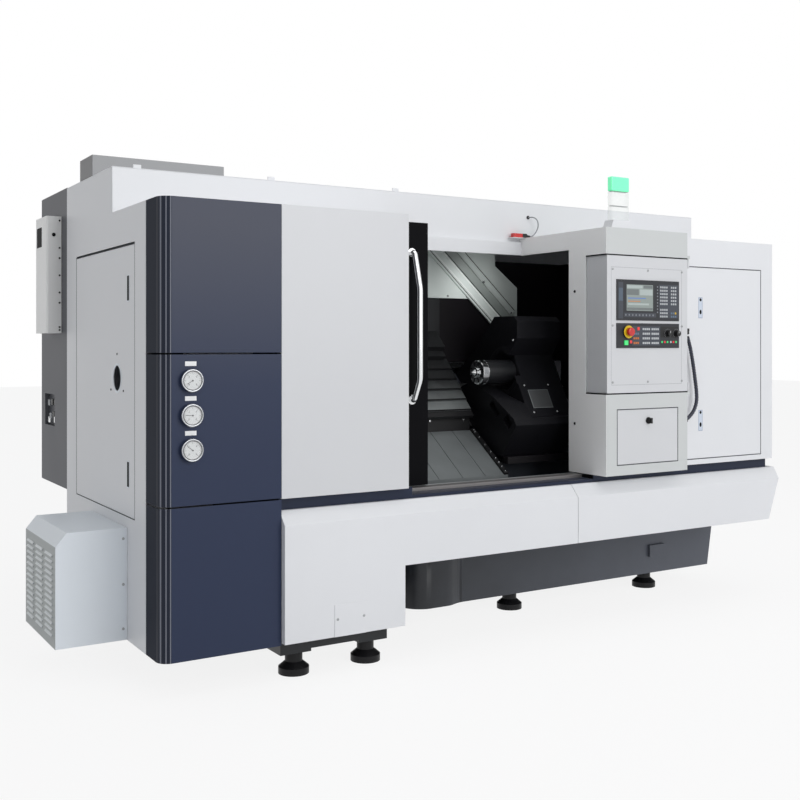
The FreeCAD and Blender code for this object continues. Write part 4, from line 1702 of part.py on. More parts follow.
save("louvred_cover", louvred_cover())
save("electrical_cabinet", electrical_cabinet())
save("cabinet_door", cabinet_door())
save("main_switch", main_switch())
save("cooling_unit", cooling_unit())
save("roof_duct", roof_duct())


# ---- signal lamp, safety switch and cables ---------------------------------------------------------
def lamp_base():
    z0, z1 = HOUSING_TOP_Z, HOUSING_TOP_Z + LAMP_BASE_HEIGHT
    left, right = LAMP_BASE_LEFT, LAMP_BASE_LEFT + LAMP_BASE_WIDTH
    outline = [(left, z0), (right, z0), (right, z1), (left + LAMP_BASE_SLANT, z1)]
    return prism_y(outline, LAMP_MIDDLE_Y - LAMP_BASE_DEPTH / 2.0, LAMP_MIDDLE_Y + LAMP_BASE_DEPTH / 2.0)


def lamp_lenses():
    base = HOUSING_TOP_Z + LAMP_BASE_HEIGHT
    y0, y1 = LAMP_MIDDLE_Y - LAMP_DEPTH / 2.0, LAMP_MIDDLE_Y + LAMP_DEPTH / 2.0
    lenses = []
    for i in range(LAMP_SEGMENTS):
        low = base + i * (LAMP_SEGMENT_HEIGHT + LAMP_DIVIDER)
        lens = box(LAMP_LEFT, LAMP_LEFT + LAMP_WIDTH, y0, y1, low, low + LAMP_SEGMENT_HEIGHT)
        upright = [e for e in lens.Edges if abs(e.Length - LAMP_SEGMENT_HEIGHT) < 0.01]
        lenses.append(lens.makeFillet(LENS_ROUND, upright))
        if i:
            lenses.append(box(LAMP_LEFT + DIVIDER_INSET, LAMP_LEFT + LAMP_WIDTH - DIVIDER_INSET, y0 + DIVIDER_INSET,
                              y1 - DIVIDER_INSET, low - LAMP_DIVIDER, low))
    return lenses


def safety_switch():
    z0 = HOUSING_TOP_Z
    box_right = SWITCH_BOX_LEFT + SWITCH_BOX_LENGTH
    body = box(SWITCH_BOX_LEFT, box_right, SWITCH_BOX_Y, SWITCH_BOX_Y + SWITCH_BOX_WIDTH, z0,
               z0 + SWITCH_BOX_HEIGHT)
    centre = V(box_right, SWITCH_BOX_Y + SWITCH_BOX_WIDTH / 2.0, z0 + SWITCH_BOX_HEIGHT / 2.0)
    nose = Part.makeCone(NOSE_RADIUS + NOSE_ROOT_LIP, SWITCH_CABLE + NOSE_END_LIP, NOSE_LENGTH, centre,
                         V(1, 0, 0))
    return body.fuse(nose).removeSplitter()


def cable_fittings():
    """Glands at both ends of the spiral-wrapped cable, and the grommet in the header."""
    first, last = V(*PANEL_CABLE_POINTS[0]), V(*PANEL_CABLE_POINTS[-1])
    ahead = (V(*PANEL_CABLE_POINTS[1]) - first).normalize()
    behind = (last - V(*PANEL_CABLE_POINTS[-2])).normalize()
    upper_start = first - ahead * FITTING_LENGTH
    upper = Part.makeCylinder(FITTING_RADIUS, FITTING_LENGTH, upper_start, ahead)
    elbow = box(HOUSING_RIGHT, upper_start.x + ELBOW_RIGHT, first.y - FITTING_RADIUS, first.y + FITTING_RADIUS,
                upper_start.z - ELBOW_DROP, upper_start.z + ELBOW_RISE)
    upper = upper.fuse(elbow).removeSplitter()
    lower = Part.makeCylinder(FITTING_RADIUS, FITTING_LENGTH * 2, last, behind)
    housing = box(0, HOUSING_RIGHT, -HOUSING_PROUD, HOUSING_BACK_Y, HOUSING_BOTTOM_Z, HOUSING_TOP_Z)
    end_x, end_y, end_z = SWITCH_CABLE_POINTS[-1]
    grommet = cyl_y(end_x, HEADER_Y - GROMMET_LENGTH, HEADER_Y, end_z, GROMMET_RADIUS)
    grommet = grommet.cut(cyl_y(end_x, HEADER_Y - GROMMET_LENGTH, HEADER_Y, end_z,
                                SWITCH_CABLE + RUNNING_CLEARANCE))
    return upper.cut(housing), lower.cut(housing), grommet


upper_gland, lower_gland, grommet = cable_fittings()
save("lamp_base", lamp_base())
save("lamp_lenses", *lamp_lenses())
save("safety_switch", safety_switch())
save("cable_fittings", lower_gland, grommet)
save("control_box_fittings", upper_gland, *face_screws())

panel_cable, cable_length, cable_radii = tube(PANEL_CABLE_POINTS, PANEL_CABLE)
report_cord("panel_cable", panel_cable, cable_length, cable_radii, PANEL_CABLE)
save("panel_cable", panel_cable)
switch_cable, switch_length, switch_radii = tube(SWITCH_CABLE_POINTS, SWITCH_CABLE)
report_cord("safety_switch_cable", switch_cable, switch_length, switch_radii, SWITCH_CABLE)
save("safety_switch_cable", switch_cable)


def panel_screws():
    screws = [screw_y(-LOUVRE_SCREW_INSET, LOUVRE_FRONT, z) for z in LOUVRE_SCREW_HEIGHTS]
    screws += [
        screw_y(x, -BELT_PROUD - SHEET, APRON_BOTTOM_Z + ACCESS_SCREW_RISE)
        for x in (ACCESS_X + ACCESS_SCREW_INSET, ACCESS_X + ACCESS_WIDTH - ACCESS_SCREW_INSET)
    ]
    screws += [screw_x(OPENING_RIGHT, HOUSING_SCREW_Y, z) for z in HOUSING_SCREW_HEIGHTS]
    return screws


save("panel_screws", *panel_screws())
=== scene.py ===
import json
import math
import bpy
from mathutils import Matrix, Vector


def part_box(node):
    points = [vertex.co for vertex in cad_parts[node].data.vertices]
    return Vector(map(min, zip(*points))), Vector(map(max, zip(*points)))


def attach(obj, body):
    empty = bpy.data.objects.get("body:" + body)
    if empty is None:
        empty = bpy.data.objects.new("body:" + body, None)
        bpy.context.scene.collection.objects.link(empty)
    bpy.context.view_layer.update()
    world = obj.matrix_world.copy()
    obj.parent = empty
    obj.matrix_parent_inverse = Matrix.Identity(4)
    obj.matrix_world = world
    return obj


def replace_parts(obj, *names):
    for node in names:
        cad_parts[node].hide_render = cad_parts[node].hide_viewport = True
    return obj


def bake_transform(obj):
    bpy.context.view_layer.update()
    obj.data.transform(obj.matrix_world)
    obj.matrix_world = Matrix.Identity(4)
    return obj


bl_info = {
    "name": "Slant-bed lathe dresser",
    "version": (1, 0, 0),
    "blender": (4, 5, 0),
    "location": "View3D > Sidebar > Lathe",
    "description": "Paint, metal, keys, gauges, cables and a studio for the slant-bed turning lathe",
    "category": "Object",
}

import bmesh
import bpy
from mathutils import Matrix, Vector

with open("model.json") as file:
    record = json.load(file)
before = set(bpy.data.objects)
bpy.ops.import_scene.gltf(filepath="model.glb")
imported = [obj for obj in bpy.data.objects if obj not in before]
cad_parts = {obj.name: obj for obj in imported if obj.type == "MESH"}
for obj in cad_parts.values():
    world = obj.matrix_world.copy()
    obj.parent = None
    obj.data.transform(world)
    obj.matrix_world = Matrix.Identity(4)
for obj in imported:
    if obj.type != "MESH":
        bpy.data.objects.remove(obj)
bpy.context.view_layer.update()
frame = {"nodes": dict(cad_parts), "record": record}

MM = 0.001
# The frame's origin, in the millimetres that places on the machine are given in: X from the left side
# panel, Y from the front covers, Z from the floor.
MACHINE_ORIGIN = Vector((1540.0, 886.0, 0.0))
FORWARD = (0, -1, 0)
LEFTWARD = (-1, 0, 0)
# The spindle's axis, as Y and Z, which the round port and the carriage's slope are laid out from.
SPINDLE_Y = 527.0
SPINDLE_Z = 1168.0


def at(x, y, z):
    """A place on the machine, from millimetres to the frame's metres."""
    return (Vector((x, y, z)) - MACHINE_ORIGIN) * MM


def middle_of(box):
    low, high = box
    return (low + high) / 2.0


# ---- meshes ------------------------------------------------------------------------------------------
def add_piece(name, mesh, finish, body, smooth_angle=35.0):
    """Links a mesh as a piece that rides on a body, smooth but for its sharp edges."""
    mesh.materials.clear()
    mesh.materials.append(finish)
    mesh.shade_smooth()
    mesh.set_sharp_from_angle(angle=math.radians(smooth_angle))
    piece = bpy.data.objects.new(name, mesh)
    bpy.context.scene.collection.objects.link(piece)
    level = piece.modifiers.new("level_faces", "WEIGHTED_NORMAL")
    level.keep_sharp = True
    if body is not None:
        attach(piece, body)
    return piece


def finish_mesh(name, form):
    bmesh.ops.recalc_face_normals(form, faces=form.faces)
    mesh = bpy.data.meshes.new(name)
    form.to_mesh(mesh)
    form.free()
    return mesh


def add_form(name, form, finish, body, smooth_angle=35.0):
    return add_piece(name, finish_mesh(name, form), finish, body, smooth_angle)


def block(form, low, high, edge=0.0, segments=2, turn=None):
    """A box between two corners with broken edges, turned about its middle where asked."""
    made = bmesh.ops.create_cube(form, size=1.0)["verts"]
    size = high - low
    bmesh.ops.scale(form, vec=size, verts=made)
    if edge > 0.0:
        edges = list({e for v in made for e in v.link_edges})
        bevelled = bmesh.ops.bevel(
            form, geom=made + edges, offset=edge, segments=segments, profile=0.5, affect="EDGES",
            clamp_overlap=True,
        )
        made = list({v for f in bevelled["faces"] for v in f.verts} | {v for v in made if v.is_valid})
    if turn is not None:
        bmesh.ops.transform(form, matrix=turn, verts=made)
    bmesh.ops.translate(form, vec=(low + high) / 2.0, verts=made)
    return made


def turned(form, centre, axis, profile, steps=48):
    """A turned form: profile points are (radius, distance along the axis from the centre)."""
    axis = Vector(axis).normalized()
    side = axis.orthogonal().normalized()
    other = axis.cross(side)
    rings = []
    for radius, along in profile:
        if radius <= 0.0:
            rings.append([form.verts.new(centre + axis * along)])
            continue
        ring = []
        for step in range(steps):
            angle = 2.0 * math.pi * step / steps
            out = side * math.cos(angle) + other * math.sin(angle)
            ring.append(form.verts.new(centre + axis * along + out * radius))
        rings.append(ring)
    for first, second in zip(rings, rings[1:]):
        for step in range(steps):
            after = (step + 1) % steps
            corners = [first[step % len(first)], first[after % len(first)]]
            corners += [second[after % len(second)], second[step % len(second)]]
            unique = list(dict.fromkeys(corners))
            if len(unique) > 2:
                form.faces.new(unique)


def plate_profile(radius, thickness):
    """The turned profile of a plain round plate."""
    return [(0.0, 0.0), (radius, 0.0), (radius, thickness), (0.0, thickness)]


def collar_profile(inner, outer, thickness):
    """The turned profile of a flat ring."""
    return [(inner, 0.0), (outer, 0.0), (outer, thickness), (inner, thickness), (inner, 0.0)]


def islands(node):
    """The lowest and highest corners of each separate solid of a frame node."""
    form = bmesh.new()
    form.from_mesh(frame["nodes"][node].data)
    bmesh.ops.remove_doubles(form, verts=form.verts, dist=1e-6)
    form.verts.ensure_lookup_table()
    seen = set()
    boxes = []
    for start in form.verts:
        if start.index in seen:
            continue
        waiting = [start]
        seen.add(start.index)
        low = start.co.copy()
        high = start.co.copy()
        while waiting:
            vertex = waiting.pop()
            for i in range(3):
                low[i] = min(low[i], vertex.co[i])
                high[i] = max(high[i], vertex.co[i])
            for edge in vertex.link_edges:
                other = edge.other_vert(vertex)
                if other.index not in seen:
                    seen.add(other.index)
                    waiting.append(other)
        boxes.append((low, high))
    form.free()
    return boxes


def softened_copy(node, width, finish, body, moves=()):
    """A copy of a frame node with its long edges broken by a small round, which stands for that node.

    Each move is a corner's old and new Y and Z, in the machine's millimetres.
    """
    form = bmesh.new()
    form.from_mesh(frame["nodes"][node].data)
    bmesh.ops.remove_doubles(form, verts=form.verts, dist=1e-6)
    for old, new in moves:
        for vertex in form.verts:
            if (vertex.co.yz - at(0.0, *old).yz).length < MM:
                vertex.co.yz = at(0.0, *new).yz
    bmesh.ops.dissolve_limit(form, angle_limit=math.radians(0.4), verts=form.verts, edges=form.edges)
    sharp = [
        e for e in form.edges
        if len(e.link_faces) == 2
        and e.calc_face_angle(0.0) > math.radians(28.0)
        and e.calc_length() > 4.0 * width
    ]
    bmesh.ops.bevel(
        form, geom=sharp, offset=width, segments=2, profile=0.5, affect="EDGES", clamp_overlap=True
    )
    bmesh.ops.triangulate(form, faces=[f for f in form.faces if len(f.verts) > 4])
    piece = add_form(node + "_dressed", form, finish, body, 30.0)
    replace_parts(piece, node)
    return piece


def second_finish(piece, finish, chosen):
    """Gives the faces whose middle passes a test a finish of their own."""
    piece.data.materials.append(finish)
    slot = len(piece.data.materials) - 1
    for face in piece.data.polygons:
        if chosen(face.center):
            face.material_index = slot


def rim(form, low, high, axis, outward, width, rise, inside=0.2 * MM):
    """Four flat strips round a rectangle that faces along one axis; they lie outside it, a little proud."""
    across, up = [i for i in range(3) if i != axis]
    near, far = sorted((low[axis] + outward * rise, low[axis] - outward * 1.5 * MM))
    outer = (low[across] - width, high[across] + width, low[up] - width, high[up] + width)
    inner = (low[across] - inside, high[across] + inside, low[up] - inside, high[up] + inside)
    strips = (
        (outer[0], outer[1], outer[2], inner[2]), (outer[0], outer[1], inner[3], outer[3]),
        (outer[0], inner[0], inner[2], inner[3]), (inner[1], outer[1], inner[2], inner[3]),
    )
    for first, last, bottom, top in strips:
        start = Vector((0.0, 0.0, 0.0))
        stop = Vector((0.0, 0.0, 0.0))
        start[axis], stop[axis] = near, far
        start[across], stop[across] = first, last
        start[up], stop[up] = bottom, top
        block(form, start, stop)


def screw_head(form, place, axis, radius=5.5 * MM, rise=3.0 * MM):
    """A domed head with a hexagon socket, its seat at the place and its top along the axis."""
    axis = Vector(axis).normalized()
    turned(form, Vector(place), axis, [
        (0.0, 0.0), (radius, 0.0), (radius, rise * 0.55), (radius * 0.86, rise * 0.9), (radius * 0.52, rise),
    ], 20)
    socket = [(radius * 0.52, rise), (radius * 0.48, rise * 0.4), (0.0, rise * 0.4)]
    turned(form, Vector(place), axis, socket, 6)


# ---- finishes ----------------------------------------------------------------------------------------
class Value:
    """A shader socket; an expression on it adds the Math nodes it needs."""

    def __init__(self, finish, socket):
        self.finish = finish
        self.socket = socket

    def _math(self, operation, first, second):
        return self.finish.node("ShaderNodeMath", {"operation": operation}, {0: first, 1: second})

    def __add__(self, other):
        return self._math("ADD", self, other)

    def __sub__(self, other):
        return self._math("SUBTRACT", self, other)

    def __mul__(self, other):
        return self._math("MULTIPLY", self, other)

    def __truediv__(self, other):
        return self._math("DIVIDE", self, other)

    def __gt__(self, other):
        return self._math("GREATER_THAN", self, other)

    def __lt__(self, other):
        return self._math("LESS_THAN", self, other)

    def clamped(self):
        return self.finish.node("ShaderNodeClamp", {}, {"Value": self})


class Finish:
    """A material on one Principled shader, with short calls for its nodes."""

    def __init__(self, name, colour, roughness, metallic=0.0, **constants):
        self.material = bpy.data.materials.new(name)
        self.material.use_nodes = True
        self.tree = self.material.node_tree
        self.shader = self.tree.nodes["Principled BSDF"]
        self.set("Base Color", (*colour, 1.0))
        self.set("Roughness", roughness)
        self.set("Metallic", metallic)
        self.material.diffuse_color = (*colour, 1.0)
        self.colour = colour
        for socket, value in constants.items():
            self.set(socket.replace("_", " "), value)

    def set(self, socket, value):
        """Links a Value to one of the shader's sockets, or sets a constant on it."""
        target = self.shader.inputs[socket]
        if isinstance(value, Value):
            self.tree.links.new(value.socket, target)
        else:
            target.default_value = value

    def node(self, kind, settings=None, inputs=None, output=0):
        """Adds a node: its settings first, then the values or links of its sockets."""
        made = self.tree.nodes.new(kind)
        for name, value in (settings or {}).items():
            if name == "stops":
                ramp = made.color_ramp.elements
                while len(ramp) < len(value):
                    ramp.new(0.5)
                for stop, (position, colour) in zip(ramp, value):
                    stop.position = position
                    stop.color = colour
            else:
                setattr(made, name, value)
        for name, value in (inputs or {}).items():
            if isinstance(value, Value):
                self.tree.links.new(value.socket, made.inputs[name])
            else:
                made.inputs[name].default_value = value
        return Value(self, made.outputs[output])

    def place(self):
        """The point on the object, in metres."""
        return self.node("ShaderNodeTexCoord", output="Object")

    def stretched(self, scale):
        inputs = {"Vector": self.place(), "Scale": scale}
        return self.node("ShaderNodeMapping", {"vector_type": "POINT"}, inputs)

    def noise(self, scale, detail=2.0, place=None, roughness=0.5):
        return self.node(
            "ShaderNodeTexNoise", {}, {"Vector": place or self.place(), "Scale": scale, "Detail": detail,
                                       "Roughness": roughness}
        )

    def axis(self, name):
        """One coordinate of the point on the object, in metres."""
        return self.node("ShaderNodeSeparateXYZ", {}, {"Vector": self.place()}, output=name)

    def mix(self, factor, first, second):
        """A colour between two colours."""
        made = self.tree.nodes.new("ShaderNodeMix")
        made.data_type = "RGBA"
        for index, value in ((0, factor), (6, first), (7, second)):
            if isinstance(value, Value):
                self.tree.links.new(value.socket, made.inputs[index])
            else:
                made.inputs[index].default_value = value
        return Value(self, made.outputs[2])

    def bump(self, height, strength, distance):
        self.set("Normal", self.node(
            "ShaderNodeBump", {}, {"Height": height, "Strength": strength, "Distance": distance}
        ))


def toned(colour, factor):
    return tuple(channel * factor for channel in colour)


def shade(colour, factor):
    return (*toned(colour, factor), 1.0)


def painted_sheet(name, colour, roughness=0.32, dust=0.04, specular=0.5):
    """Semi-gloss enamel on sheet: a little uneven in tone and gloss, with a fine orange peel."""
    finish = Finish(name, colour, roughness, Specular_IOR_Level=specular)
    patches = finish.noise(1.7, 3.0)
    finish.set("Base Color", finish.mix(patches, shade(colour, 1.0 - dust), shade(colour, 1.0 + dust * 0.5)))
    finish.set("Roughness", patches * 0.12 + (roughness - 0.06))
    finish.bump(finish.noise(420.0, 1.0), 0.05, 0.0004)
    return finish.material


# Where the light catches the rounded corner of the column, left to right.
CORNER_RIDGES = (at(8.8, 0, 0).x, at(24.5, 0, 0).x, at(39.5, 0, 0).x)


def column_enamel(name, colour, top_reflection):
    """Dark blue semi-gloss enamel, a shade greyer near its top by painted reflection, with painted shade over
    the rounded corner and painted highlights where light catches its folds.
    """
    finish = Finish(name, colour, 0.34, Specular_IOR_Level=0.22)
    patches = finish.noise(1.1, 2.0)
    # Painted reflection: going up, the enamel turns towards a greyer tone, as the top panel reflects more
    # light.
    height = ((finish.axis("Z") - 1.15) / 0.6).clamped()
    tone = finish.mix(height * (patches * 0.5 + 0.6), (*colour, 1.0), (*top_reflection, 1.0))
    across = finish.axis("X")
    # Painted shade over the rounded corner.
    tone = finish.mix(across < CORNER_RIDGES[-1] + 0.003, tone, shade(colour, 0.35))
    # Painted highlights: thin pale lines where light catches the rounded corner.
    for ridge in CORNER_RIDGES:
        tone = finish.mix((across > ridge - 0.0019) * (across < ridge + 0.0019), tone, (0.19, 0.20, 0.24, 1.0))
    finish.set("Base Color", tone)
    finish.set("Roughness", patches * 0.14 + 0.26)
    finish.bump(finish.noise(300.0, 1.0), 0.06, 0.0005)
    return finish.material


def cast_enamel(name, colour, roughness=0.34, specular=0.4):
    """Machine enamel on a casting: glossy, over a filled and slightly wavy skin."""
    finish = Finish(name, colour, roughness, Specular_IOR_Level=specular)
    waves = finish.noise(3.2, 3.0)
    finish.set("Base Color", finish.mix(waves, shade(colour, 0.8), shade(colour, 1.25)))
    finish.set("Roughness", waves * 0.2 + (roughness - 0.1))
    finish.bump(waves + finish.noise(60.0, 2.0) * 0.12, 0.35, 0.01)
    return finish.material


def base_enamel(name, shaded, lit):
    """The base's enamel, with painted shade darker under the front cover and painted light paler towards its
    open right end.
    """
    finish = Finish(name, lit, 0.36, Specular_IOR_Level=0.4)
    waves = finish.noise(3.2, 3.0)
    along = ((finish.axis("X") + 0.55) / 1.9 + (waves - 0.5) * 0.5).clamped()
    finish.set("Base Color", finish.mix(along, (*shaded, 1.0), (*lit, 1.0)))
    finish.set("Roughness", waves * 0.2 + 0.26)
    finish.bump(waves + finish.noise(60.0, 2.0) * 0.12, 0.35, 0.01)
    return finish.material


def stepped_steel(name, shaded_colour, lit_colour, bottom, top):
    """The stepped cover's steel, with painted shade: bright at the bottom, darker higher up where the upper
    sheets lie in shade.
    """
    finish = Finish(name, lit_colour, 0.38, 0.5, Specular_IOR_Level=0.3)
    film = finish.noise(7.0, 3.0)
    lines = finish.noise(1.0, 4.0, finish.stretched((2.0, 160.0, 160.0)), 0.6)
    # Painted shade: darker going up the cover, with an uneven boundary.
    height = ((finish.axis("Z") - bottom) / (top - bottom) + (film - 0.5) * 0.7).clamped()
    finish.set("Base Color", finish.mix(height, (*lit_colour, 1.0), (*shaded_colour, 1.0)))
    finish.set("Roughness", (lines * 0.16 + film * 0.14 + 0.23).clamped())
    finish.bump(lines, 0.12, 0.0006)
    return finish.material


def worked_steel(name, colour, roughness, grain=(2.0, 160.0, 160.0), smear=0.35, metallic=1.0, specular=0.5):
    """Rolled or ground steel with its grain along one direction and an uneven film of coolant."""
    finish = Finish(name, colour, roughness, metallic, Specular_IOR_Level=specular)
    lines = finish.noise(1.0, 4.0, finish.stretched(grain), 0.6)
    film = finish.noise(5.0, 3.0)
    finish.set("Base Color", finish.mix(film, shade(colour, 1.0 - smear), shade(colour, 1.0)))
    finish.set("Roughness", (lines * 0.16 + film * 0.14 + (roughness - 0.15)).clamped())
    finish.bump(lines, 0.12, 0.0006)
    return finish.material


def polished_steel(name, colour=(0.78, 0.79, 0.80), roughness=0.1):
    finish = Finish(name, colour, roughness, 1.0)
    finish.set("Roughness", finish.noise(30.0, 2.0) * 0.08 + (roughness - 0.03))
    return finish.material


def moulded_plastic(name, colour, roughness=0.45, grain=0.06, specular=0.4):
    finish = Finish(name, colour, roughness, Specular_IOR_Level=specular)
    finish.bump(finish.noise(900.0, 1.0), grain, 0.0003)
    return finish.material


def lit_plastic(name, colour, glow, roughness=0.2):
    """A translucent lens or key with its lamp on."""
    return Finish(
        name, colour, roughness, Emission_Color=(*colour, 1.0), Emission_Strength=glow, Coat_Weight=0.4
    ).material


def tinted_glass(name, colour):
    return Finish(name, colour, 0.05, Alpha=0.45, Specular_IOR_Level=0.6, Coat_Weight=0.5).material


def spiral_wrap(name, colour):
    """Cable sleeve with the faint dust that settles between its turns."""
    finish = Finish(name, colour, 0.42)
    dust = finish.noise(60.0, 3.0)
    finish.set("Base Color", finish.mix(dust, shade(colour, 0.8), shade(colour, 1.5)))
    return finish.material


finishes = {}


def mix_finishes(settings):
    """Every finish on the machine, by a short name."""
    white = tuple(settings.white_enamel)
    navy = tuple(settings.column_blue)
    casting = tuple(settings.casting_enamel)
    dark = tuple(settings.guard_black)
    finishes.update({
        "white": painted_sheet("white enamel", white),
        # Copies of the white enamel in other tones are painted light and shade: painted shade on the door
        # side, the left side and the housing; painted light under the roof, on the cooler and on the housing's
        # left face.
        "front white": painted_sheet("white enamel on the door side, painted shade", toned(white, 0.84)),
        "header white": painted_sheet("white enamel under the roof, painted light", toned(white, 1.01)),
        "cooler white": painted_sheet("white enamel on the cooler, painted light", (0.95, 0.95, 0.94), 0.4),
        "side white": painted_sheet("white enamel on the left side, painted shade", toned(white, 0.97), 0.4),
        "housing white": painted_sheet("white enamel on the housing, painted shade", (0.61, 0.63, 0.63), 0.38),
        "housing side": painted_sheet("white enamel on the housing's side, painted light", (1.0, 1.0, 1.0), 0.38, 0.02),
        "louvre white": painted_sheet("cool white enamel on the pump cover", (0.82, 0.87, 0.92), 0.42),
        "louvre side": painted_sheet("shaded enamel round the louvres", (0.37, 0.40, 0.40), 0.45),
        "cabinet grey": painted_sheet("grey enamel on the cabinet", (0.096, 0.099, 0.112), 0.5, specular=0.3),
        "duct grey": painted_sheet("light grey enamel on the duct", (0.345, 0.35, 0.36), 0.45),
        "duct side": painted_sheet("shaded grey enamel on the duct", (0.15, 0.15, 0.155), 0.45),
        # The column's third colour is its painted reflection near the top.
        "navy": column_enamel("dark blue column enamel", navy, (0.062, 0.068, 0.095)),
        "column side": moulded_plastic("shaded column enamel", (0.028, 0.032, 0.045), 0.65, 0.03, 0.05),
        "groove blue": column_enamel("dark blue groove enamel", toned(navy, 0.6), (0.04, 0.045, 0.06)),
        "louvre hood": painted_sheet("lit enamel on the louvre hoods", (0.80, 0.84, 0.86), 0.4),
        "latch rim": painted_sheet("blue latch rim", (0.36, 0.42, 0.55), 0.35),
        "casting": base_enamel("steel-blue casting enamel", toned(casting, 0.3), (0.105, 0.115, 0.14)),
        "foot black": cast_enamel("black foot enamel", (0.006, 0.006, 0.007), 0.42, 0.25),
        "guard black": painted_sheet("black guard enamel", dark, 0.42, 0.3, 0.2),
        "pale guard": painted_sheet("pale guard enamel", (0.70, 0.76, 0.73), 0.34, 0.14),
        "guard fold": painted_sheet("shaded guard enamel", (0.27, 0.30, 0.285), 0.3, 0.2),
        "channel highlight": painted_sheet("painted highlight on the channel's folds", (0.95, 0.98, 0.96), 0.25, 0.05),
        "tailstock": cast_enamel("graphite tailstock enamel", (0.008, 0.008, 0.010), 0.4, 0.2),
        # Painted reflection: the quill's polished sleeve is painted near black for the dark walls it mirrors.
        "quill dark": cast_enamel("quill steel, painted dark reflection", (0.010, 0.0105, 0.012), 0.3, 0.45),
        # Painted shade: the first colour is the shaded upper cover, the second the lit lower cover.
        "cover steel": stepped_steel(
            "rolled cover steel", (0.03, 0.031, 0.033), (0.25, 0.27, 0.27), at(0, 0, 975.0).z,
            at(0, 0, 1130.0).z,
        ),
        "apron steel": worked_steel(
            "rolled apron steel", (0.24, 0.26, 0.265), 0.44, metallic=0.4, specular=0.25
        ),
        "block iron": painted_sheet("dark saddle enamel", (0.012, 0.012, 0.013), 0.45, 0.2, 0.25),
        "plate dark": worked_steel("blued plate", (0.13, 0.135, 0.14), 0.4, metallic=0.5, specular=0.4),
        "ground steel": worked_steel("ground steel", (0.34, 0.35, 0.36), 0.3),
        "sill steel": worked_steel("brushed sill steel", (0.27, 0.26, 0.26), 0.42, metallic=0.6, specular=0.3),
        "chrome": polished_steel("polished chrome"),
        "bezel chrome": polished_steel("rolled gauge bezel", (0.42, 0.43, 0.45), 0.2),
        "fastener": polished_steel("plated fasteners", (0.42, 0.43, 0.44), 0.28),
        "bright fastener": polished_steel("bright fasteners", (0.7, 0.71, 0.72), 0.2),
        "black plastic": moulded_plastic("black plastic", (0.012, 0.012, 0.013)),
        "stile black": moulded_plastic("black stile enamel", (0.002, 0.002, 0.003), 0.55, 0.03, 0.06),
        "panel black": moulded_plastic("panel sheet, near black", (0.022, 0.024, 0.029), 0.42),
        "panel slate": moulded_plastic("panel sheet, slate", (0.055, 0.062, 0.078), 0.4),
        "panel blue": moulded_plastic("panel sheet, steel blue", (0.09, 0.12, 0.16), 0.4),
        "key light": moulded_plastic("light grey keys", (0.50, 0.52, 0.54), 0.4),
        "key grey": moulded_plastic("mid grey keys", (0.22, 0.235, 0.26), 0.4),
        "key blue": moulded_plastic("blue-grey keys", (0.13, 0.19, 0.27), 0.4),
        "key orange": moulded_plastic("orange keys", (0.55, 0.17, 0.05), 0.4),
        "key yellow": moulded_plastic("yellow keys", (0.75, 0.52, 0.04), 0.4),
        "key red": lit_plastic("red keys", (0.72, 0.03, 0.03), 0.25),
        "key green": lit_plastic("green keys", (0.04, 0.52, 0.14), 0.35),
        "signal yellow": moulded_plastic("yellow ring", (0.78, 0.55, 0.02), 0.35),
        "signal red": Finish("gloss red button", (0.60, 0.012, 0.012), 0.24, Coat_Weight=0.5).material,
        "signal green": lit_plastic("green start key", (0.05, 0.62, 0.16), 0.5),
        "screen": Finish(
            "lit screen", (0.17, 0.20, 0.19), 0.2, Emission_Color=(0.46, 0.52, 0.49, 1.0),
            Emission_Strength=0.24,
        ).material,
        "screen blue": lit_plastic("screen band, blue", (0.10, 0.18, 0.42), 0.25),
        "screen orange": lit_plastic("screen band, orange", (0.42, 0.20, 0.10), 0.2),
        "screen grey": lit_plastic("screen band, grey", (0.13, 0.15, 0.15), 0.2),
        "screen pale": lit_plastic("screen band, pale", (0.34, 0.39, 0.38), 0.25),
        "lamp green": lit_plastic("lit green lens", (0.16, 0.80, 0.42), 0.55),
        "lamp clear": Finish("unlit clear lens", (0.94, 0.99, 0.97), 0.2, Alpha=0.22).material,
        "glass": tinted_glass("tinted window", (0.03, 0.035, 0.04)),
        "gauge glass": Finish("gauge glass", (0.9, 0.92, 0.92), 0.04, Alpha=0.12, Coat_Weight=0.6).material,
        "dial": moulded_plastic("gauge dial", (0.78, 0.79, 0.79), 0.35, 0.0),
        "dial ink": moulded_plastic("dial ink", (0.015, 0.015, 0.017), 0.5, 0.0),
        "tag": moulded_plastic("blank tag", (0.90, 0.91, 0.92), 0.35, 0.0),
        "latch": painted_sheet("pale blue latch paddle", (0.62, 0.68, 0.78), 0.3),
        "grey plastic": moulded_plastic("grey plastic", (0.30, 0.31, 0.33), 0.4),
        "sleeve": spiral_wrap("dark cable sleeve", (0.006, 0.007, 0.012)),
        "wrap": spiral_wrap("dark blue spiral wrap", (0.02, 0.023, 0.045)),
        # Black rubber for seals, slots and wipers, also laid as painted shadow in gaps and along the channel.
        "seal": moulded_plastic("black rubber, also painted shadow", (0.006, 0.006, 0.007), 0.7, specular=0.15),
        "door seam": moulded_plastic("shadowed door seam", (0.06, 0.065, 0.075), 0.7, specular=0.15),
        "sheet seam": moulded_plastic("fine sheet seam", (0.36, 0.37, 0.39), 0.6, specular=0.2),
    })


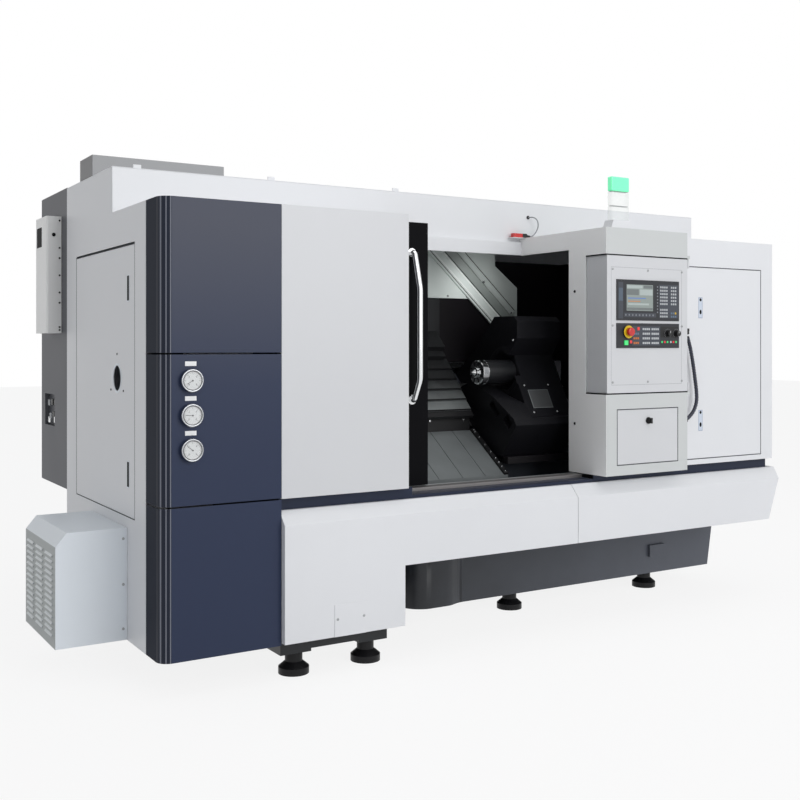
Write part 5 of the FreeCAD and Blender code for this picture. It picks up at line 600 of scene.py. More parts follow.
# ---- settings ----------------------------------------------------------------------------------------
class LatheFinishSettings(bpy.types.PropertyGroup):
    """Colours and small sizes of the machine's finish."""

    white_enamel: bpy.props.FloatVectorProperty(
        name="White enamel", description="Colour of the sheet covers", subtype="COLOR",
        default=(0.79, 0.80, 0.825), min=0.0, max=1.0)
    column_blue: bpy.props.FloatVectorProperty(
        name="Column blue", description="Colour of the corner column", subtype="COLOR",
        default=(0.026, 0.037, 0.078), min=0.0, max=1.0)
    casting_enamel: bpy.props.FloatVectorProperty(
        name="Casting enamel", description="Colour of the cast base", subtype="COLOR",
        default=(0.030, 0.036, 0.044), min=0.0, max=1.0)
    guard_black: bpy.props.FloatVectorProperty(
        name="Guard black", description="Colour of the walls of the work area", subtype="COLOR",
        default=(0.0055, 0.0045, 0.006), min=0.0, max=1.0)
    sheet_edge: bpy.props.FloatProperty(
        name="Sheet edge", description="Round on the edges of sheet covers", unit="LENGTH", default=1.3 * MM,
        min=0.0, max=5.0 * MM)
    casting_edge: bpy.props.FloatProperty(
        name="Casting edge", description="Round on the edges of castings", unit="LENGTH", default=4.0 * MM,
        min=0.0, max=20.0 * MM)
    key_edge: bpy.props.FloatProperty(
        name="Key edge", description="Round on the edges of keys", unit="LENGTH", default=0.7 * MM, min=0.0,
        max=2.0 * MM)
    wrap_pitch: bpy.props.FloatProperty(
        name="Wrap pitch", description="Advance of one turn of the cable's spiral wrap", unit="LENGTH",
        default=14.0 * MM, min=5.0 * MM, max=60.0 * MM)
    dial_ticks: bpy.props.IntProperty(
        name="Dial ticks", description="Graduations on each gauge", default=31, min=5, max=101)


class LatheStudioSettings(bpy.types.PropertyGroup):
    """Light and camera of the studio."""

    camera_place: bpy.props.FloatVectorProperty(
        name="Camera place", description="Where the camera stands", subtype="TRANSLATION",
        default=(-2.806, -4.604, 1.300))
    camera_turn: bpy.props.FloatProperty(
        name="Camera turn", description="Heading of the level camera", subtype="ANGLE",
        default=math.radians(-31.6))
    lens: bpy.props.FloatProperty(
        name="Lens", description="Focal length", subtype="DISTANCE_CAMERA", default=47.52)
    rise: bpy.props.FloatProperty(name="Rise", description="Vertical shift of the lens", default=-0.0681)
    room_light: bpy.props.FloatProperty(
        name="Room light", description="Strength of the room's even light", default=0.452, min=0.0, max=2.0)
    key_power: bpy.props.FloatProperty(
        name="Key light", description="Power of the large lamp in front", subtype="POWER",
        default=330.0, min=0.0)
    top_power: bpy.props.FloatProperty(
        name="Top light", description="Power of the large lamp overhead", subtype="POWER", default=60.0,
        min=0.0)
    inner_power: bpy.props.FloatProperty(
        name="Inner light", description="Power of the small lamp over the work area", subtype="POWER",
        default=0.22, min=0.0)


# ---- operators ---------------------------------------------------------------------------------------
class LATHE_OT_finishes(bpy.types.Operator):
    """Mix the paints, metals and plastics"""

    bl_idname = "lathe.finishes"
    bl_label = "Finishes"

    def execute(self, context):
        mix_finishes(context.scene.lathe_finish)
        return {"FINISHED"}


NODE_FINISHES = {
    "foot black": ("levelling_feet",),
    "ground steel": ("bed_rails", "spindle", "turret_disc"),
    "groove blue": ("groove_strip",),
    "guard black": ("inner_guards",),
    "tailstock": ("headstock", "spindle_motor"),
    "block iron": ("saddle",),
    "glass": ("door_window",),
    "chrome": ("door_handle", "chuck"),
    "black plastic": ("feed_knob", "speed_knob", "main_switch", "storage_lock", "cable_fittings"),
    "signal red": ("estop_button",),
    "signal green": ("start_button",),
    "panel black": ("screen_unit", "machine_panel"),
    "cooler white": ("cooling_unit",),
    "white": ("lamp_base",),
}

SOFTENED_SHEETS = {
    "white": ("belt_panels", "right_front_panel", "right_door"),
    "front white": ("fixed_front_cover", "sliding_door", "storage_door", "control_box"),
    "header white": ("header_panel", "roof_and_rear_panels"),
    "side white": ("left_side_panel", "side_door"),
    "cabinet grey": ("electrical_cabinet", "cabinet_door"),
    "sill steel": ("sill_plate",),
    "stile black": ("door_stile",),
    "cover steel": ("tread_cover",),
}


# The slanted channel on the rear wall, in the machine's millimetres.
CHANNEL_START = Vector((1741.0, 0.0, 1895.0))
CHANNEL_END = Vector((2246.0, 0.0, 1432.0))
CHANNEL_SIDE = Vector((0.676, 0.0, 0.737))
CHANNEL_HALF = 89.0


def channel_share(place):
    """How far a place lies across the channel, from -1 at its lower edge to 1 at its upper edge."""
    return (place / MM + MACHINE_ORIGIN - CHANNEL_END).dot(CHANNEL_SIDE) / CHANNEL_HALF


# The tailstock foot's front corners: where the frame has them, and where they show.
TAILSTOCK_FOOT = (
    ((309.0, 1001.0), (309.0, 950.0)), ((287.0, 968.0), (287.0, 917.0)), ((354.0, 1005.0), (327.0, 955.0)),
)


def body_of_node(node):
    bodies = frame["record"]["behaviour"]["bodies"]
    return next(body for body, members in bodies.items() if node in members)


class LATHE_OT_covers(bpy.types.Operator):
    """Paint the frame's pieces and break the edges of its sheet covers and castings"""

    bl_idname = "lathe.covers"
    bl_label = "Covers and castings"

    def execute(self, context):
        settings = context.scene.lathe_finish
        for finish, nodes in NODE_FINISHES.items():
            for node in nodes:
                mesh = frame["nodes"][node].data
                mesh.materials.clear()
                mesh.materials.append(finishes[finish])
        for finish, nodes in SOFTENED_SHEETS.items():
            for node in nodes:
                softened_copy(node, settings.sheet_edge, finishes[finish], body_of_node(node))
        softened_copy("bed_casting", settings.casting_edge, finishes["casting"], "frame")
        self.two_toned("column_panels", "navy", "column side", lambda middle: middle.x < at(1.0, 0, 0).x)
        # Painted shade on the housing, in a darker copy of the white enamel, and painted light on its left
        # face beside the opening, in a brighter copy.
        self.two_toned(
            "operator_housing", "housing white", "housing side", lambda middle: middle.x < at(2113.0, 0, 0).x
        )
        duct_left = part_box("roof_duct")[0].x + MM
        self.two_toned("roof_duct", "duct grey", "duct side", lambda middle: middle.x < duct_left)
        louvres = self.two_toned(
            "louvred_cover", "louvre white", "louvre side", lambda middle: middle.x < at(-277.0, 0, 0).x
        )
        second_finish(louvres, finishes["louvre hood"], lambda middle: middle.x < at(-280.5, 0, 0).x)
        rails = softened_copy("door_rails", settings.sheet_edge, finishes["white"], "frame")
        second_finish(rails, finishes["ground steel"], lambda middle: middle.z < 1.0)
        guard = softened_copy("rear_guard", 0.4 * MM, finishes["pale guard"], "frame")
        recess = at(0.0, 886.0, 0.0).y
        second_finish(guard, finishes["guard black"], lambda middle: middle.y > recess)
        sheet = at(0.0, 879.0, 0.0).y
        second_finish(
            guard, finishes["guard fold"],
            lambda middle: middle.y < sheet and -0.28 < channel_share(middle) < 0.5,
        )
        apron = softened_copy("saddle_apron", settings.sheet_edge, finishes["apron steel"], "saddle")
        wiper = at(1809.0, 0.0, 0.0).x
        second_finish(apron, finishes["block iron"], lambda middle: middle.x > wiper)
        softened_copy("cross_slide", settings.sheet_edge, finishes["cover steel"], "cross_slide")
        softened_copy("tailstock", settings.casting_edge, finishes["tailstock"], "tailstock", TAILSTOCK_FOOT)
        return {"FINISHED"}

    def two_toned(self, node, finish, second, chosen):
        """A softened sheet, with a finish of its own on the faces that pass a test."""
        edge = bpy.context.scene.lathe_finish.sheet_edge
        piece = softened_copy(node, edge, finishes[finish], body_of_node(node))
        second_finish(piece, finishes[second], chosen)
        return piece


# The doorways whose gaps get a painted shadow, a dark strip over the gap: their lowest and highest corners,
# and the axis they face along.
HOUSING_FRONT = -50.0
GAP_SHADOW_WIDTH = 3.6 * MM
DOORWAYS = (
    (((2690.0, 0.0, 735.0), (3236.0, 0.0, 1691.0)), 1),
    (((2183.0, HOUSING_FRONT, 741.0), (2576.0, HOUSING_FRONT, 998.0)), 1),
    (((0.0, 300.0, 627.0), (0.0, 1152.0, 1694.0)), 0),
)
# Bottom and top of the gaps over and under the control box, where dark strips are laid as painted shadow.
HOUSING_GAPS = ((1721.3, 1727.0), (1071.0, 1076.7))

# The channel's painted lines along its folds: share across it, depth from the wall, width and whether it is a
# painted highlight rather than a painted shadow.
WALL_FRONT_Y = 882.0
CHANNEL_LINES = (
    (-0.86, 14.0, 3.5, False), (-0.74, 17.0, 6.0, True), (-0.38, 29.0, 5.0, True), (-0.28, 32.0, 4.0, False),
    (0.86, 7.5, 3.0, False),
)

# The stepped cover along its slope, from the spindle's axis: first sheet, pitch, and how each lies higher.
TREAD_FIRST = -83.0
TREAD_PITCH = 66.0
TREAD_SQUARE = -186.0
TREAD_RISE = 5.0


class LATHE_OT_seams(bpy.types.Operator):
    """Lay painted shadows in the gaps round the doors and the control box, painted highlights and shadow lines
    along the channel's folds, and the stepped cover's wipers
    """

    bl_idname = "lathe.seams"
    bl_label = "Painted shadows, highlights and wipers"

    def execute(self, context):
        gap_shadows = bmesh.new()
        for (low, high), axis in DOORWAYS:
            rim(gap_shadows, at(*low), at(*high), axis, -1, GAP_SHADOW_WIDTH, 0.2 * MM)
        add_form("door_gap_shadows", gap_shadows, finishes["door seam"], "frame")
        gaps = bmesh.new()
        for low, high in HOUSING_GAPS:
            block(gaps, at(2111.8, HOUSING_FRONT - 0.3, low), at(2643.2, HOUSING_FRONT + 3.0, high))
            block(gaps, at(2111.7, HOUSING_FRONT + 3.0, low), at(2114.0, 88.0, high))
        add_form("housing_gap_shadows", gaps, finishes["seal"], "frame")
        outline = bmesh.new()
        low = at(2145.0, HOUSING_FRONT, 1116.0)
        high = at(2602.0, HOUSING_FRONT, 1666.0)
        rim(outline, low, high, 1, -1, 1.4 * MM, 0.15 * MM, 0.0)
        add_form("panel_outline", outline, finishes["sheet seam"], "control_box")
        self.channel_edges()
        for first, count, body in ((0, 2, "saddle"), (2, 3, "cross_slide")):
            self.wipers(first, count, body)
        return {"FINISHED"}

    def channel_edges(self):
        """Painted highlights along the slanted channel's folded edges, with a painted shadow line beside each.
        """
        run = CHANNEL_END - CHANNEL_START
        angle = math.atan2(run.z, run.x)
        turn = Matrix.Rotation(-angle, 4, "Y")
        bright = bmesh.new()
        dark = bmesh.new()
        for share, depth, width, is_highlight in CHANNEL_LINES:
            middle = (CHANNEL_START + CHANNEL_END) / 2.0 + CHANNEL_SIDE * CHANNEL_HALF * share
            place = at(middle.x, WALL_FRONT_Y - depth, middle.z)
            half = Vector((run.length / 2.0 - 4.0, 1.5, width / 2.0)) * MM
            block(bright if is_highlight else dark, place - half, place + half, 0.3 * MM, 1, turn)
        add_form("channel_edges", bright, finishes["channel highlight"], "frame")
        add_form("channel_painted_shadows", dark, finishes["seal"], "frame")

    def wipers(self, first, count, body):
        """A dark rubber wiper along the lower edge of each sheet of the stepped cover, standing also for the
        painted shadow under each step.
        """
        low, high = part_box("tread_cover")
        form = bmesh.new()
        for index in range(first, first + count):
            along = TREAD_FIRST + TREAD_PITCH * index + 4.0
            square = TREAD_SQUARE + TREAD_RISE * index + 0.6
            half_root = math.sqrt(0.5)
            place = at(0.0, SPINDLE_Y + half_root * (along - square), SPINDLE_Z + half_root * (along + square))
            middle = Vector(((low.x + high.x) / 2.0, place.y, place.z))
            half = Vector(((high.x - low.x) / 2.0 - 0.5 * MM, 4.5 * MM, 0.7 * MM))
            block(form, middle - half, middle + half, 0.2 * MM, 1, Matrix.Rotation(math.pi / 4.0, 4, "X"))
        add_form("tread_wipers_" + body, form, finishes["seal"], body)


DIAL_THICKNESS = 2.2 * MM


class LATHE_OT_gauges(bpy.types.Operator):
    """Build the pressure gauges: rolled bezels, dials, needles and blank tags"""

    bl_idname = "lathe.gauges"
    bl_label = "Pressure gauges"

    def execute(self, context):
        settings = context.scene.lathe_finish
        parts = islands("gauge_cases")
        cases = [b for b in parts if (b[1] - b[0]).z > 60.0 * MM]
        tags = [b for b in parts if (b[1] - b[0]).z < 60.0 * MM]
        bezels = bmesh.new()
        for low, high in cases:
            middle = middle_of((low, high))
            seat = Vector((middle.x, high.y, middle.z))
            radius = (high.x - low.x) / 2.0
            depth = high.y - low.y
            turned(bezels, seat, FORWARD, [
                (0.0, 0.0), (radius * 0.9, 0.0), (radius * 0.9, depth * 0.45), (radius, depth * 0.52),
                (radius, depth * 0.86), (radius * 0.955, depth * 0.98), (radius * 0.9, depth),
                (radius * 0.86, depth * 0.97), (radius * 0.83, depth * 0.8), (0.0, depth * 0.8),
            ], 64)
        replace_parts(add_form("gauge_bezels", bezels, finishes["bezel chrome"], "frame"), "gauge_cases")
        plates = bmesh.new()
        for low, high in tags:
            block(plates, low, high, 0.3 * MM, 1)
        add_form("gauge_tags", plates, finishes["tag"], "frame")
        dials = bmesh.new()
        marks = bmesh.new()
        glasses = bmesh.new()
        for number, (low, high) in enumerate(sorted(islands("gauge_dials"), key=lambda b: -b[0].z)):
            middle = middle_of((low, high))
            radius = (high.x - low.x) / 2.0
            front = Vector((middle.x, high.y - DIAL_THICKNESS, middle.z))
            back = Vector((middle.x, high.y, middle.z))
            turned(dials, back, FORWARD, plate_profile(radius, DIAL_THICKNESS), 64)
            self.graduate(marks, front, radius, settings.dial_ticks)
            self.needle(marks, front, radius, math.radians(-120.0 + 34.0 * number))
            glass = Vector((middle.x, high.y - 4.1 * MM, middle.z))
            domed = [(0.0, 0.0), (radius, 0.0), (radius, 0.6 * MM), (0.0, 1.2 * MM)]
            turned(glasses, glass, FORWARD, domed, 64)
            self.figures(front, radius, number)
            turned(marks, front, FORWARD, collar_profile(radius * 0.93, radius, 0.3 * MM), 48)
        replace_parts(add_form("gauge_faces", dials, finishes["dial"], "frame"), "gauge_dials")
        add_form("gauge_marks", marks, finishes["dial ink"], "frame")
        add_form("gauge_glasses", glasses, finishes["gauge glass"], "frame")
        return {"FINISHED"}

    def graduate(self, marks, centre, radius, ticks):
        """Tick marks round three quarters of the dial, every fifth one longer."""
        start = math.radians(225.0)
        sweep = math.radians(270.0)
        for tick in range(ticks):
            angle = start - sweep * tick / (ticks - 1)
            long_tick = tick % 5 == 0
            length = radius * (0.2 if long_tick else 0.11)
            width = (1.1 if long_tick else 0.6) * MM
            out = Vector((math.cos(angle), 0.0, math.sin(angle)))
            middle = centre + out * (radius * 0.9 - length / 2.0)
            half = Vector((length / 2.0, 0.15 * MM, width / 2.0))
            block(marks, middle - half, middle + half, turn=Matrix.Rotation(-angle, 4, "Y"))

    def needle(self, marks, centre, radius, angle):
        turn = Matrix.Rotation(angle, 4, "Y")
        long_way = Vector((0.0, 0.0, radius * 0.32))
        front = Vector((0.0, -0.9 * MM, 0.0))
        middle = centre + front + (turn @ long_way)
        half = Vector((0.9 * MM, 0.3 * MM, radius * 0.42))
        block(marks, middle - half, middle + half, turn=turn)
        hub = [(0.0, 0.0), (3.2 * MM, 0.0), (3.2 * MM, 1.6 * MM), (0.0, 1.9 * MM)]
        turned(marks, centre, FORWARD, hub, 20)

    def figures(self, centre, radius, number):
        """Plain numbers at every tenth tick."""
        for place, text in enumerate(("0", "2", "4", "6")):
            angle = math.radians(225.0 - 90.0 * place)
            curve = bpy.data.curves.new("figure", "FONT")
            curve.body = text
            curve.size = radius * 0.3
            curve.align_x = "CENTER"
            curve.align_y = "CENTER"
            curve.extrude = 0.1 * MM
            holder = bpy.data.objects.new("figure", curve)
            bpy.context.scene.collection.objects.link(holder)
            bpy.context.view_layer.update()
            mesh = bpy.data.meshes.new_from_object(holder)
            bpy.data.objects.remove(holder)
            spot = centre + Vector((math.cos(angle), 0.0, math.sin(angle))) * radius * 0.56
            spot.y -= 0.15 * MM
            mesh.transform(Matrix.Translation(spot) @ Matrix.Rotation(math.pi / 2.0, 4, "X"))
            add_piece(f"gauge_figure_{number}_{text}", mesh, finishes["dial ink"], "frame")


DOT_CIRCLE = 21.0 * MM    # radius of the dots round a knob


class LATHE_OT_control_panel(bpy.types.Operator):
    """Lay out the control panel: screen, strips, keys, emergency stop ring and knobs"""

    bl_idname = "lathe.control_panel"
    bl_label = "Control panel"

    def execute(self, context):
        edge = context.scene.lathe_finish.key_edge
        self.screen()
        self.strips()
        self.keys(edge)
        self.ring()
        self.knob_marks()
        return {"FINISHED"}

    def plate(self, name, finish, x0, x1, z0, z1, face, rise, edge=0.3):
        form = bmesh.new()
        block(form, Vector((x0, face - rise * MM, z0)), Vector((x1, face, z1)), edge * MM, 1)
        return add_form(name, form, finishes[finish], "control_box")

    def screen(self):
        low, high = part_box("screen_unit")
        left = low.x + 62.0 * MM
        right = left + 172.0 * MM
        top = high.z - 22.0 * MM
        bottom = top - 124.0 * MM
        face = low.y + 1.5 * MM
        self.plate("screen_picture", "screen", left, right, bottom, top, face, 0.6)
        wide = right - left
        bands = (
            ("pale", 0.02, 0.60, 0.86, 0.97), ("grey", 0.64, 0.98, 0.86, 0.97),
            ("grey", 0.02, 0.46, 0.60, 0.82), ("pale", 0.50, 0.98, 0.60, 0.82),
            ("blue", 0.06, 0.72, 0.46, 0.50), ("orange", 0.06, 0.52, 0.34, 0.38),
            ("pale", 0.06, 0.84, 0.22, 0.29), ("grey", 0.02, 0.98, 0.03, 0.12),
        )
        tall = top - bottom
        for number, (tone, x0, x1, z0, z1) in enumerate(bands):
            self.plate(
                f"screen_band_{number}", "screen " + tone, left + wide * x0, left + wide * x1,
                bottom + tall * z0, bottom + tall * z1, face - 0.6 * MM, 0.15, 0.0,
            )

    def strips(self):
        """Shaded fields of the panel's cover sheets."""
        low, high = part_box("screen_unit")
        face = low.y
        self.plate("screen_left_strip", "panel slate", low.x + 10 * MM, low.x + 40 * MM, low.z + 8 * MM,
                   high.z - 12 * MM, face, 0.4)
        self.plate("screen_left_badge", "panel blue", low.x + 12 * MM, low.x + 38 * MM, low.z + 92 * MM,
                   high.z - 40 * MM, face - 0.4 * MM, 0.3)
        self.plate("soft_key_strip", "panel slate", low.x + 46 * MM, low.x + 252 * MM, low.z + 16 * MM,
                   low.z + 36 * MM, face, 0.4)
        self.plate("key_field", "panel slate", low.x + 272 * MM, high.x - 6 * MM, low.z + 14 * MM,
                   high.z - 18 * MM, face, 0.4)
        low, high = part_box("machine_panel")
        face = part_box("screen_unit")[0].y
        self.plate("machine_key_field", "panel slate", low.x + 98 * MM, low.x + 278 * MM, low.z + 12 * MM,
                   high.z - 14 * MM, face, 0.4)
        self.plate("knob_field", "black plastic", low.x + 282 * MM, high.x - 6 * MM, low.z + 50 * MM,
                   high.z - 14 * MM, face, 0.4)

    def keys(self, edge):
        """Every key of the frame's group, rounded and coloured by where it sits."""
        screen_low, screen_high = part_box("screen_unit")
        machine_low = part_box("machine_panel")[0]
        groups = {}
        for low, high in islands("panel_keys"):
            middle = middle_of((low, high))
            if middle.z > screen_low.z:
                across = (middle.x - screen_low.x) / MM
                down = (screen_high.z - middle.z) / MM
                tone = "key light"
                if across < 270.0:
                    tone = "key grey"
                elif across > 345.0 and down > 140.0:
                    tone = "key blue"
                if across > 370.0 and 140.0 < down < 160.0:
                    tone = "key yellow"
            else:
                across = (middle.x - machine_low.x) / MM
                up = (middle.z - machine_low.z) / MM
                tone = "key light"
                if 95.0 < across < 160.0:
                    tone = "key blue" if up > 60.0 else "key orange"
                if 125.0 < across < 150.0 and up > 85.0:
                    tone = "key red"
                if across < 95.0:
                    tone = "key red"
                if across > 280.0:
                    column = int((across - 280.0) / 19.0)
                    tone = "key " + ("green", "red", "green", "light", "red", "green")[min(column, 5)]
            form = groups.setdefault(tone, bmesh.new())
            block(form, low, high, edge, 2)
        for number, (tone, form) in enumerate(sorted(groups.items(), key=lambda item: item[0])):
            piece = add_form("keys_" + tone.replace("key ", ""), form, finishes[tone], "control_box")
            if number == 0:
                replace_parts(piece, "panel_keys")

    def ring(self):
        """Yellow ring round the emergency stop."""
        middle = middle_of(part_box("estop_button"))
        form = bmesh.new()
        seat = Vector((middle.x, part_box("machine_panel")[0].y, middle.z))
        turned(form, seat, FORWARD, collar_profile(10.0 * MM, 30.0 * MM, 0.8 * MM), 48)
        add_form("stop_ring", form, finishes["signal yellow"], "control_box")

    def knob_marks(self):
        """Dots round each rotary knob, and the white line on its top."""
        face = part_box("screen_unit")[0].y - 0.4 * MM
        for knob in ("feed_knob", "speed_knob"):
            low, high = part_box(knob)
            middle = middle_of((low, high))
            dots = bmesh.new()
            for step in range(15):
                angle = math.radians(225.0 - 270.0 * step / 14.0)
                out = Vector((math.cos(angle), 0.0, math.sin(angle))) * DOT_CIRCLE
                spot = Vector((middle.x + out.x, face, middle.z + out.z))
                turned(dots, spot, FORWARD, plate_profile(1.1 * MM, 0.15 * MM), 8)
            add_form(knob + "_dots", dots, finishes["key light"], "control_box")
            line = bmesh.new()
            block(line, Vector((middle.x - 0.9 * MM, low.y - 0.3 * MM, middle.z + 2.0 * MM)),
                  Vector((middle.x + 0.9 * MM, low.y, middle.z + 12.0 * MM)))
            add_form(knob + "_line", line, finishes["tag"], knob)


GUARD_SCREW = 6.0 * MM

# The apron's slope as Y and Z, and where its bolts lie from its top to its bottom.
APRON_TOP = (612.0, 876.0)
APRON_BOTTOM = (330.0, 681.0)
APRON_THICKNESS = 10.0
APRON_BOLT_SHARES = (0.03, 0.08, 0.2, 0.37, 0.54, 0.68, 0.77, 0.86, 0.96)

# The tailstock's sloping front as Y and Z, with its plate and the screws round it.
TAILSTOCK_SLOPE_TOP = (470.0, 1218.0)
TAILSTOCK_SLOPE_FOOT = (354.0, 1005.0)
PLATE_PLACE = (2066.0, 371.5, 1036.5)
PLATE_RISE = 1.5
UPPER_PLATE_SCREWS = ((1992.0, 407.5, 1103.0), (2142.0, 407.5, 1103.0))
LOWER_PLATE_SCREWS = ((2143.0, 337.0, 973.0), (1998.0, 337.0, 973.0))


class LATHE_OT_fasteners(bpy.types.Operator):
    """Fit the screws of the covers, guards and tailstock"""

    bl_idname = "lathe.fasteners"
    bl_label = "Fasteners"

    def execute(self, context):
        self.cover_screws()
        self.face_screws()
        self.guard_screws()
        self.carriage_screws()
        self.tailstock_screws()
        return {"FINISHED"}

    def cover_screws(self):
        form = bmesh.new()
        side = bmesh.new()
        for low, high in islands("panel_screws"):
            size = high - low
            middle = middle_of((low, high))
            if size.x < size.y:
                screw_head(side, (high.x, middle.y, middle.z), LEFTWARD, 7.0 * MM)
            else:
                screw_head(form, (middle.x, high.y, middle.z), FORWARD)
        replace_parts(add_form("cover_screws", form, finishes["fastener"], "frame"), "panel_screws")
        add_form("side_screws", side, finishes["block iron"], "frame")

    def face_screws(self):
        screws = bmesh.new()
        gland = bmesh.new()
        for low, high in islands("control_box_fittings"):
            middle = middle_of((low, high))
            if (high - low).z < 15.0 * MM:
                screw_head(screws, (middle.x, high.y, middle.z), FORWARD)
            else:
                turned(gland, Vector((middle.x + 6.0 * MM, middle.y, high.z)), (0.1, 0.0, -1.0), [
                    (0.0, 0.0), (12.0 * MM, 0.0), (12.0 * MM, 12.0 * MM), (10.0 * MM, 14.0 * MM),
                    (10.0 * MM, 24.0 * MM), (9.2 * MM, 27.0 * MM), (0.0, 27.0 * MM),
                ], 6)
                block(gland, Vector((low.x, low.y, middle.z - 8.0 * MM)),
                      Vector((middle.x + 4.0 * MM, high.y, high.z)), 1.5 * MM)
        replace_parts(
            add_form("control_box_screws", screws, finishes["fastener"], "control_box"), "control_box_fittings"
        )
        add_form("control_box_gland", gland, finishes["black plastic"], "control_box")

    def guard_screws(self):
        """Screws on the walls of the work area and on the rear channel."""
        form = bmesh.new()
        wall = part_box("rear_guard")[0].y
        for x, z in ((2078.0, 1640.0), (2262.0, 1478.0)):
            screw_head(form, (at(x, 0, 0).x, wall + 24.0 * MM, at(0, 0, z).z), FORWARD, GUARD_SCREW)
        for x, z in ((1796.0, 1731.0), (1858.0, 1560.0), (1980.0, 1560.5)):
            screw_head(form, at(x, WALL_FRONT_Y, z), FORWARD, GUARD_SCREW)
        add_form("guard_screws", form, finishes["bright fastener"], "frame")

    def carriage_screws(self):
        """Bolts along the apron's wiper and on the saddle's front block."""
        upper = Vector(APRON_TOP)
        lower = Vector(APRON_BOTTOM)
        slope = (lower - upper).normalized()
        square = Vector((slope.y, -slope.x))
        form = bmesh.new()
        for share in APRON_BOLT_SHARES:
            spot = upper + (lower - upper) * share + square * APRON_THICKNESS
            screw_head(form, at(1822.0, spot.x, spot.y), (0, square.x, square.y), 5.0 * MM)
        for x in (1574.0, 1774.0):
            screw_head(form, at(x, 618.0, 930.0), FORWARD, 6.0 * MM)
        add_form("apron_bolts", form, finishes["bright fastener"], "saddle")

    def tailstock_screws(self):
        """The steel plate on the tailstock's sloping front, its rim and screws, and the head's screw."""
        slope = (Vector(TAILSTOCK_SLOPE_TOP) - Vector(TAILSTOCK_SLOPE_FOOT)).normalized()
        square = Vector((-slope.y, slope.x))
        turn = Matrix.Rotation(math.atan2(slope.y, slope.x), 4, "X")
        plate = bmesh.new()
        x, y, z = PLATE_PLACE
        middle = at(x, y + square.x * PLATE_RISE, z + square.y * PLATE_RISE)
        half = Vector((59.0, 47.0, 1.5)) * MM
        block(plate, middle - half, middle + half, 1.0 * MM, 2, turn)
        add_form("tailstock_plate", plate, finishes["plate dark"], "tailstock")
        form = bmesh.new()
        for place in UPPER_PLATE_SCREWS + LOWER_PLATE_SCREWS:
            screw_head(form, at(*place), (0, square.x, square.y), 6.0 * MM, 4.0 * MM)
        screw_head(form, at(1960.0, 455.0, 1327.0), LEFTWARD, 7.0 * MM)
        add_form("tailstock_screws", form, finishes["bright fastener"], "tailstock")
        rings = bmesh.new()
        edge = bmesh.new()
        half = Vector((62.0, 50.0, 1.0)) * MM
        block(edge, middle - half, middle + half, 0.5 * MM, 1, turn)
        add_form("tailstock_plate_edge", edge, finishes["apron steel"], "tailstock")
        for place in UPPER_PLATE_SCREWS:
            turned(rings, at(*place), (0, square.x, square.y), plate_profile(10.0 * MM, 0.5 * MM), 24)
        add_form("tailstock_screw_rings", rings, finishes["seal"], "tailstock")


class LATHE_OT_centre(bpy.types.Operator):
    """Turn the quill's bright nose and its live centre"""

    bl_idname = "lathe.centre"
    bl_label = "Quill and live centre"

    def execute(self, context):
        low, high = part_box("tailstock_quill")
        middle = middle_of((low, high))
        nose = Vector((low.x, middle.y, middle.z))
        radius = (high.z - low.z) / 2.0
        length = high.x - low.x
        form = bmesh.new()
        turned(form, nose, (1, 0, 0), [
            (14.5 * MM, 40.0 * MM), (14.5 * MM, 3.0 * MM), (18.0 * MM, 0.0), (radius * 0.86, 0.0),
            (radius * 0.94, 2.0 * MM), (radius, 6.0 * MM), (radius, 34.0 * MM), (radius * 0.975, 35.0 * MM),
            (radius * 0.975, 38.0 * MM), (radius, 39.0 * MM), (radius, length), (14.5 * MM, length),
            (14.5 * MM, 40.0 * MM),
        ], 72)
        sleeve = add_form("quill_sleeve", form, finishes["chrome"], "tailstock_quill")
        collar_end = nose.x + 38.5 * MM
        # Painted reflection: the sleeve behind the bright collar takes the near-black quill finish.
        second_finish(sleeve, finishes["quill dark"], lambda middle: middle.x > collar_end)
        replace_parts(sleeve, "tailstock_quill")
        slots = bmesh.new()
        for step in range(8):
            angle = 2.0 * math.pi * (step + 0.5) / 8.0
            out = Vector((0.0, math.cos(angle), math.sin(angle)))
            spot = nose + out * radius * 0.7 + Vector((-0.4 * MM, 0.0, 0.0))
            half = Vector((0.5 * MM, radius * 0.2, 4.0 * MM))
            block(slots, spot - half, spot + half, turn=Matrix.Rotation(angle, 4, "X"))
        add_form("quill_slots", slots, finishes["seal"], "tailstock_quill")
        low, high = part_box("live_centre")
        axis_y = (low.y + high.y) / 2.0
        axis_z = (low.z + high.z) / 2.0
        tip = Vector((low.x, axis_y, axis_z))
        centre = bmesh.new()
        turned(centre, tip, (1, 0, 0), [
            (0.0, 0.0), (1.0 * MM, 0.0), (15.6 * MM, 16.0 * MM), (24.0 * MM, 16.6 * MM),
            (26.0 * MM, 18.6 * MM), (26.0 * MM, 26.4 * MM), (24.6 * MM, 27.8 * MM), (14.0 * MM, 27.8 * MM),
            (14.0 * MM, high.x - low.x), (0.0, high.x - low.x),
        ], 64)
        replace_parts(add_form("live_centre_turned", centre, finishes["chrome"], "live_centre"), "live_centre")
        return {"FINISHED"}


RIGHT_LATCH_X = 2789.0
RIGHT_LATCH_HEIGHTS = (874.0, 1438.0)
SIDE_LATCH_HEIGHTS = (740.0, 1473.0)


